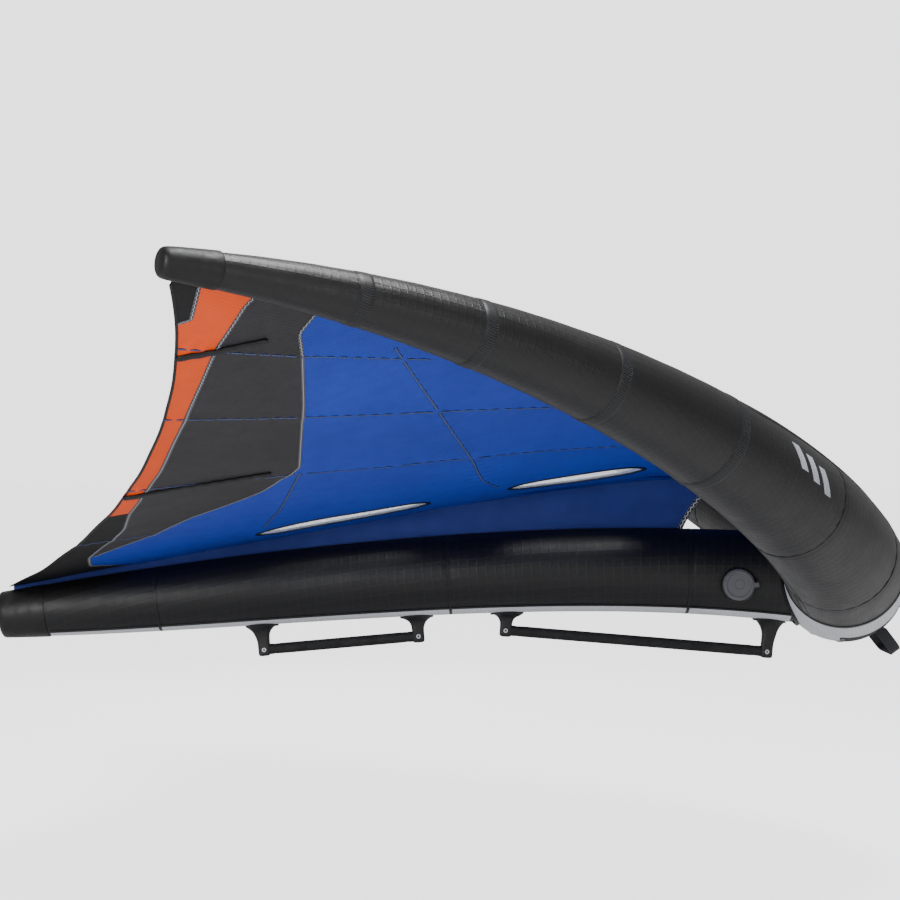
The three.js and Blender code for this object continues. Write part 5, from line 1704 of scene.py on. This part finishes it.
@dataclass
class NoseHandle:
    """The webbing grab handle under the nose, on its sewn patch."""

    curve: LeadingTube
    angle: float = -53.0
    pivot: float = 139.133
    top: float = 193.7
    reach: float = 85.7
    corner: float = 24.0
    width: float = 28.0
    buried: float = 13.9

    def build(self) -> None:
        """Makes the patch and the loop."""
        self.build_patch()
        self.build_loop()

    def build_patch(self) -> None:
        """The sewn patch with its padded crown, and a tape along both edges."""
        rows = np.linspace(-0.065, 0.065, 60)
        degrees = np.linspace(-95.0, -22.0, 50)
        patch = wrapped("sewn_nose_handle_patch", self.curve, rows, degrees, -1.0,
                        crown(60, 50, 1.2, 3.2))
        place(patch, "grey_webbing", "webbing", ["nose_handle_patch"])
        for name, angle in (("front", -25.0), ("rear", -92.0)):
            path = self.curve.point(rows, angle, 2.4)
            place(strip(f"nose_patch_edge_{name}", path, self.curve.normal(rows, angle),
                        tape_outline(10.0, 1.1, 1.6)), "black_tape", "tape")

    def build_loop(self) -> None:
        """The loop on its own body: two legs, two round corners and a straight grip."""
        turn = np.linspace(0.0, np.pi / 2, 14)
        leg = np.linspace(self.pivot - self.buried, self.top - self.corner, 30)
        half = np.concatenate([
            np.stack([np.full_like(leg, self.reach), leg], axis=1),
            np.stack([self.reach - self.corner * (1 - np.cos(turn[1:])),
                      self.top - self.corner * (1 - np.sin(turn[1:]))], axis=1),
        ])
        flat = np.concatenate([half, half[::-1] * [-1.0, 1.0]])
        outward = np.array([np.cos(np.radians(self.angle)), 0.0,
                            np.sin(np.radians(self.angle))])
        middle = np.array([self.curve.nose[0], 0.0, self.curve.nose[1]])
        path = middle + flat[:, :1] * ACROSS + flat[:, 1:] * outward
        (path,) = evenly(path, 2.2)
        away = (path - middle) @ outward - self.pivot
        widths = np.sqrt(np.clip(1.0 - (np.minimum(away, 0.0) / (self.width / 2)) ** 2,
                                 0.02, 1.0))
        across = np.cross(ACROSS, outward)
        ahead = unit(np.gradient(path, axis=0))
        out = unit(np.cross(np.broadcast_to(across, ahead.shape), ahead))
        loop = strip("woven_nose_handle_loop", path, out,
                     tape_outline(self.width - 0.4, 2.0, 2.0), widths=widths)
        place(loop, "grey_webbing", "webbing", ["nose_handle_loop"], body="nose_handle")


# ------------------------------------------------------------------ studio

NODE_FINISHES = {
    "leading_edge_bladder": "bladder_film", "strut_bladder": "bladder_film",
    "front_handle_screw_rear": "screw_steel", "front_handle_screw_front": "screw_steel",
    "rear_handle_screw_rear": "screw_steel", "rear_handle_screw_front": "screw_steel",
    "valve_body": "black_rubber", "valve_poppet": "valve_rubber",
}


@dataclass
class Studio:
    """Pale floor, soft lights and the camera."""

    floor: float = -0.55
    eye: tuple[float, float, float] = (-0.437, -5.5, 0.4484)
    lens: float = 93.617
    floor_size: float = 60.0

    def build(self) -> None:
        """Makes the floor, the world, four area lights and the camera."""
        self.build_floor()
        self.build_world()
        self.light("key", (-2.6, -4.6, 1.6), (-0.6, 0.0, 0.3), 170.0, 1.8)
        self.light("fill", (2.6, -4.5, 1.0), (-0.4, 0.0, 0.2), 40.0, 2.0)
        self.light("top", (0.4, -0.8, 4.0), (0.0, -0.6, 0.3), 240.0, 1.6)
        self.light("back", (-1.2, 4.8, 2.2), (-0.3, 0.0, 0.3), 70.0, 2.6)
        self.build_camera()

    def build_floor(self) -> None:
        """A wide pale floor that glows a little, more to the camera than as light."""
        size = self.floor_size
        corners = np.array([[-size, -size], [size, -size], [size, size], [-size, size]])
        mesh = bpy.data.meshes.new("studio_floor")
        points = np.column_stack([corners, np.full(4, self.floor)])
        mesh.from_pydata(points.tolist(), [], [[0, 1, 2, 3]])
        ground = bpy.data.objects.new("studio_floor", mesh)
        bpy.context.scene.collection.objects.link(ground)
        material = bpy.data.materials.new("studio_floor")
        material.use_nodes = True
        shader = material.node_tree.nodes["Principled BSDF"]
        shader.inputs["Base Color"].default_value = (0.5, 0.5, 0.5, 1.0)
        shader.inputs["Roughness"].default_value = 0.9
        shader.inputs["Specular IOR Level"].default_value = 0.1
        shader.inputs["Emission Color"].default_value = (1.0, 1.0, 1.0, 1.0)
        self.glow(Sketch(material.node_tree), shader.inputs["Emission Strength"], 1.9, 0.3)
        mesh.materials.append(material)

    def build_world(self) -> None:
        """A white world, brighter to the camera than as light."""
        world = bpy.data.worlds.new("studio")
        world.use_nodes = True
        backdrop = world.node_tree.nodes["Background"]
        backdrop.inputs["Color"].default_value = (1.0, 1.0, 1.0, 1.0)
        self.glow(Sketch(world.node_tree), backdrop.inputs["Strength"], 2.1, 0.35)
        bpy.context.scene.world = world

    def glow(self, art: Sketch, socket: bpy.types.NodeSocket, seen: float,
             given: float) -> None:
        """Strength given as light, and the strength that the camera sees on top of it."""
        direct = art.node("ShaderNodeLightPath").outputs["Is Camera Ray"]
        art.put(socket, art.math("MULTIPLY_ADD", direct, seen, given))

    def build_camera(self) -> None:
        """A level camera that looks along +Y."""
        camera = bpy.data.cameras.new("camera")
        camera.lens = self.lens
        camera.sensor_width = 36.0
        seat = bpy.data.objects.new("camera", camera)
        seat.location = self.eye
        seat.rotation_euler = (np.pi / 2, 0.0, 0.0)
        bpy.context.scene.collection.objects.link(seat)
        bpy.context.scene.camera = seat

    def light(self, name: str, at: tuple, towards: tuple, power: float,
              size: float) -> None:
        """A square area light at one place, turned towards another."""
        lamp = bpy.data.lights.new(name, "AREA")
        lamp.energy = power
        lamp.size = size
        made = bpy.data.objects.new(name, lamp)
        made.location = at
        aim = Vector(towards) - Vector(at)
        made.rotation_euler = aim.to_track_quat("-Z", "Y").to_euler()
        bpy.context.scene.collection.objects.link(made)


def finish_nodes() -> None:
    """Gives the CAD nodes that stay their own finishes."""
    for node, finish in NODE_FINISHES.items():
        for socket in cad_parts[node].material_slots:
            socket.material = material_of(finish)


def main() -> None:
    """Builds the wing, piece by piece, and logs the faces of each new piece."""
    logging.basicConfig(level=logging.INFO, format="%(name)s %(message)s")
    Studio().build()
    LeadingEdge(TUBE).build()
    Strut(STRUT, TUBE).build()
    canopy = Canopy(SURFACE)
    canopy.build()
    KeelWeb(canopy, STRUT).build()
    Handle("rear", -692.0, -4.5, 5.0, 363.5, STRUT).build()
    Handle("front", 0.0, 0.0, -4.65, 615.0, STRUT).build()
    Valve().build()
    NoseHandle(TUBE).build()
    finish_nodes()


if __name__ == "__main__":
    main()
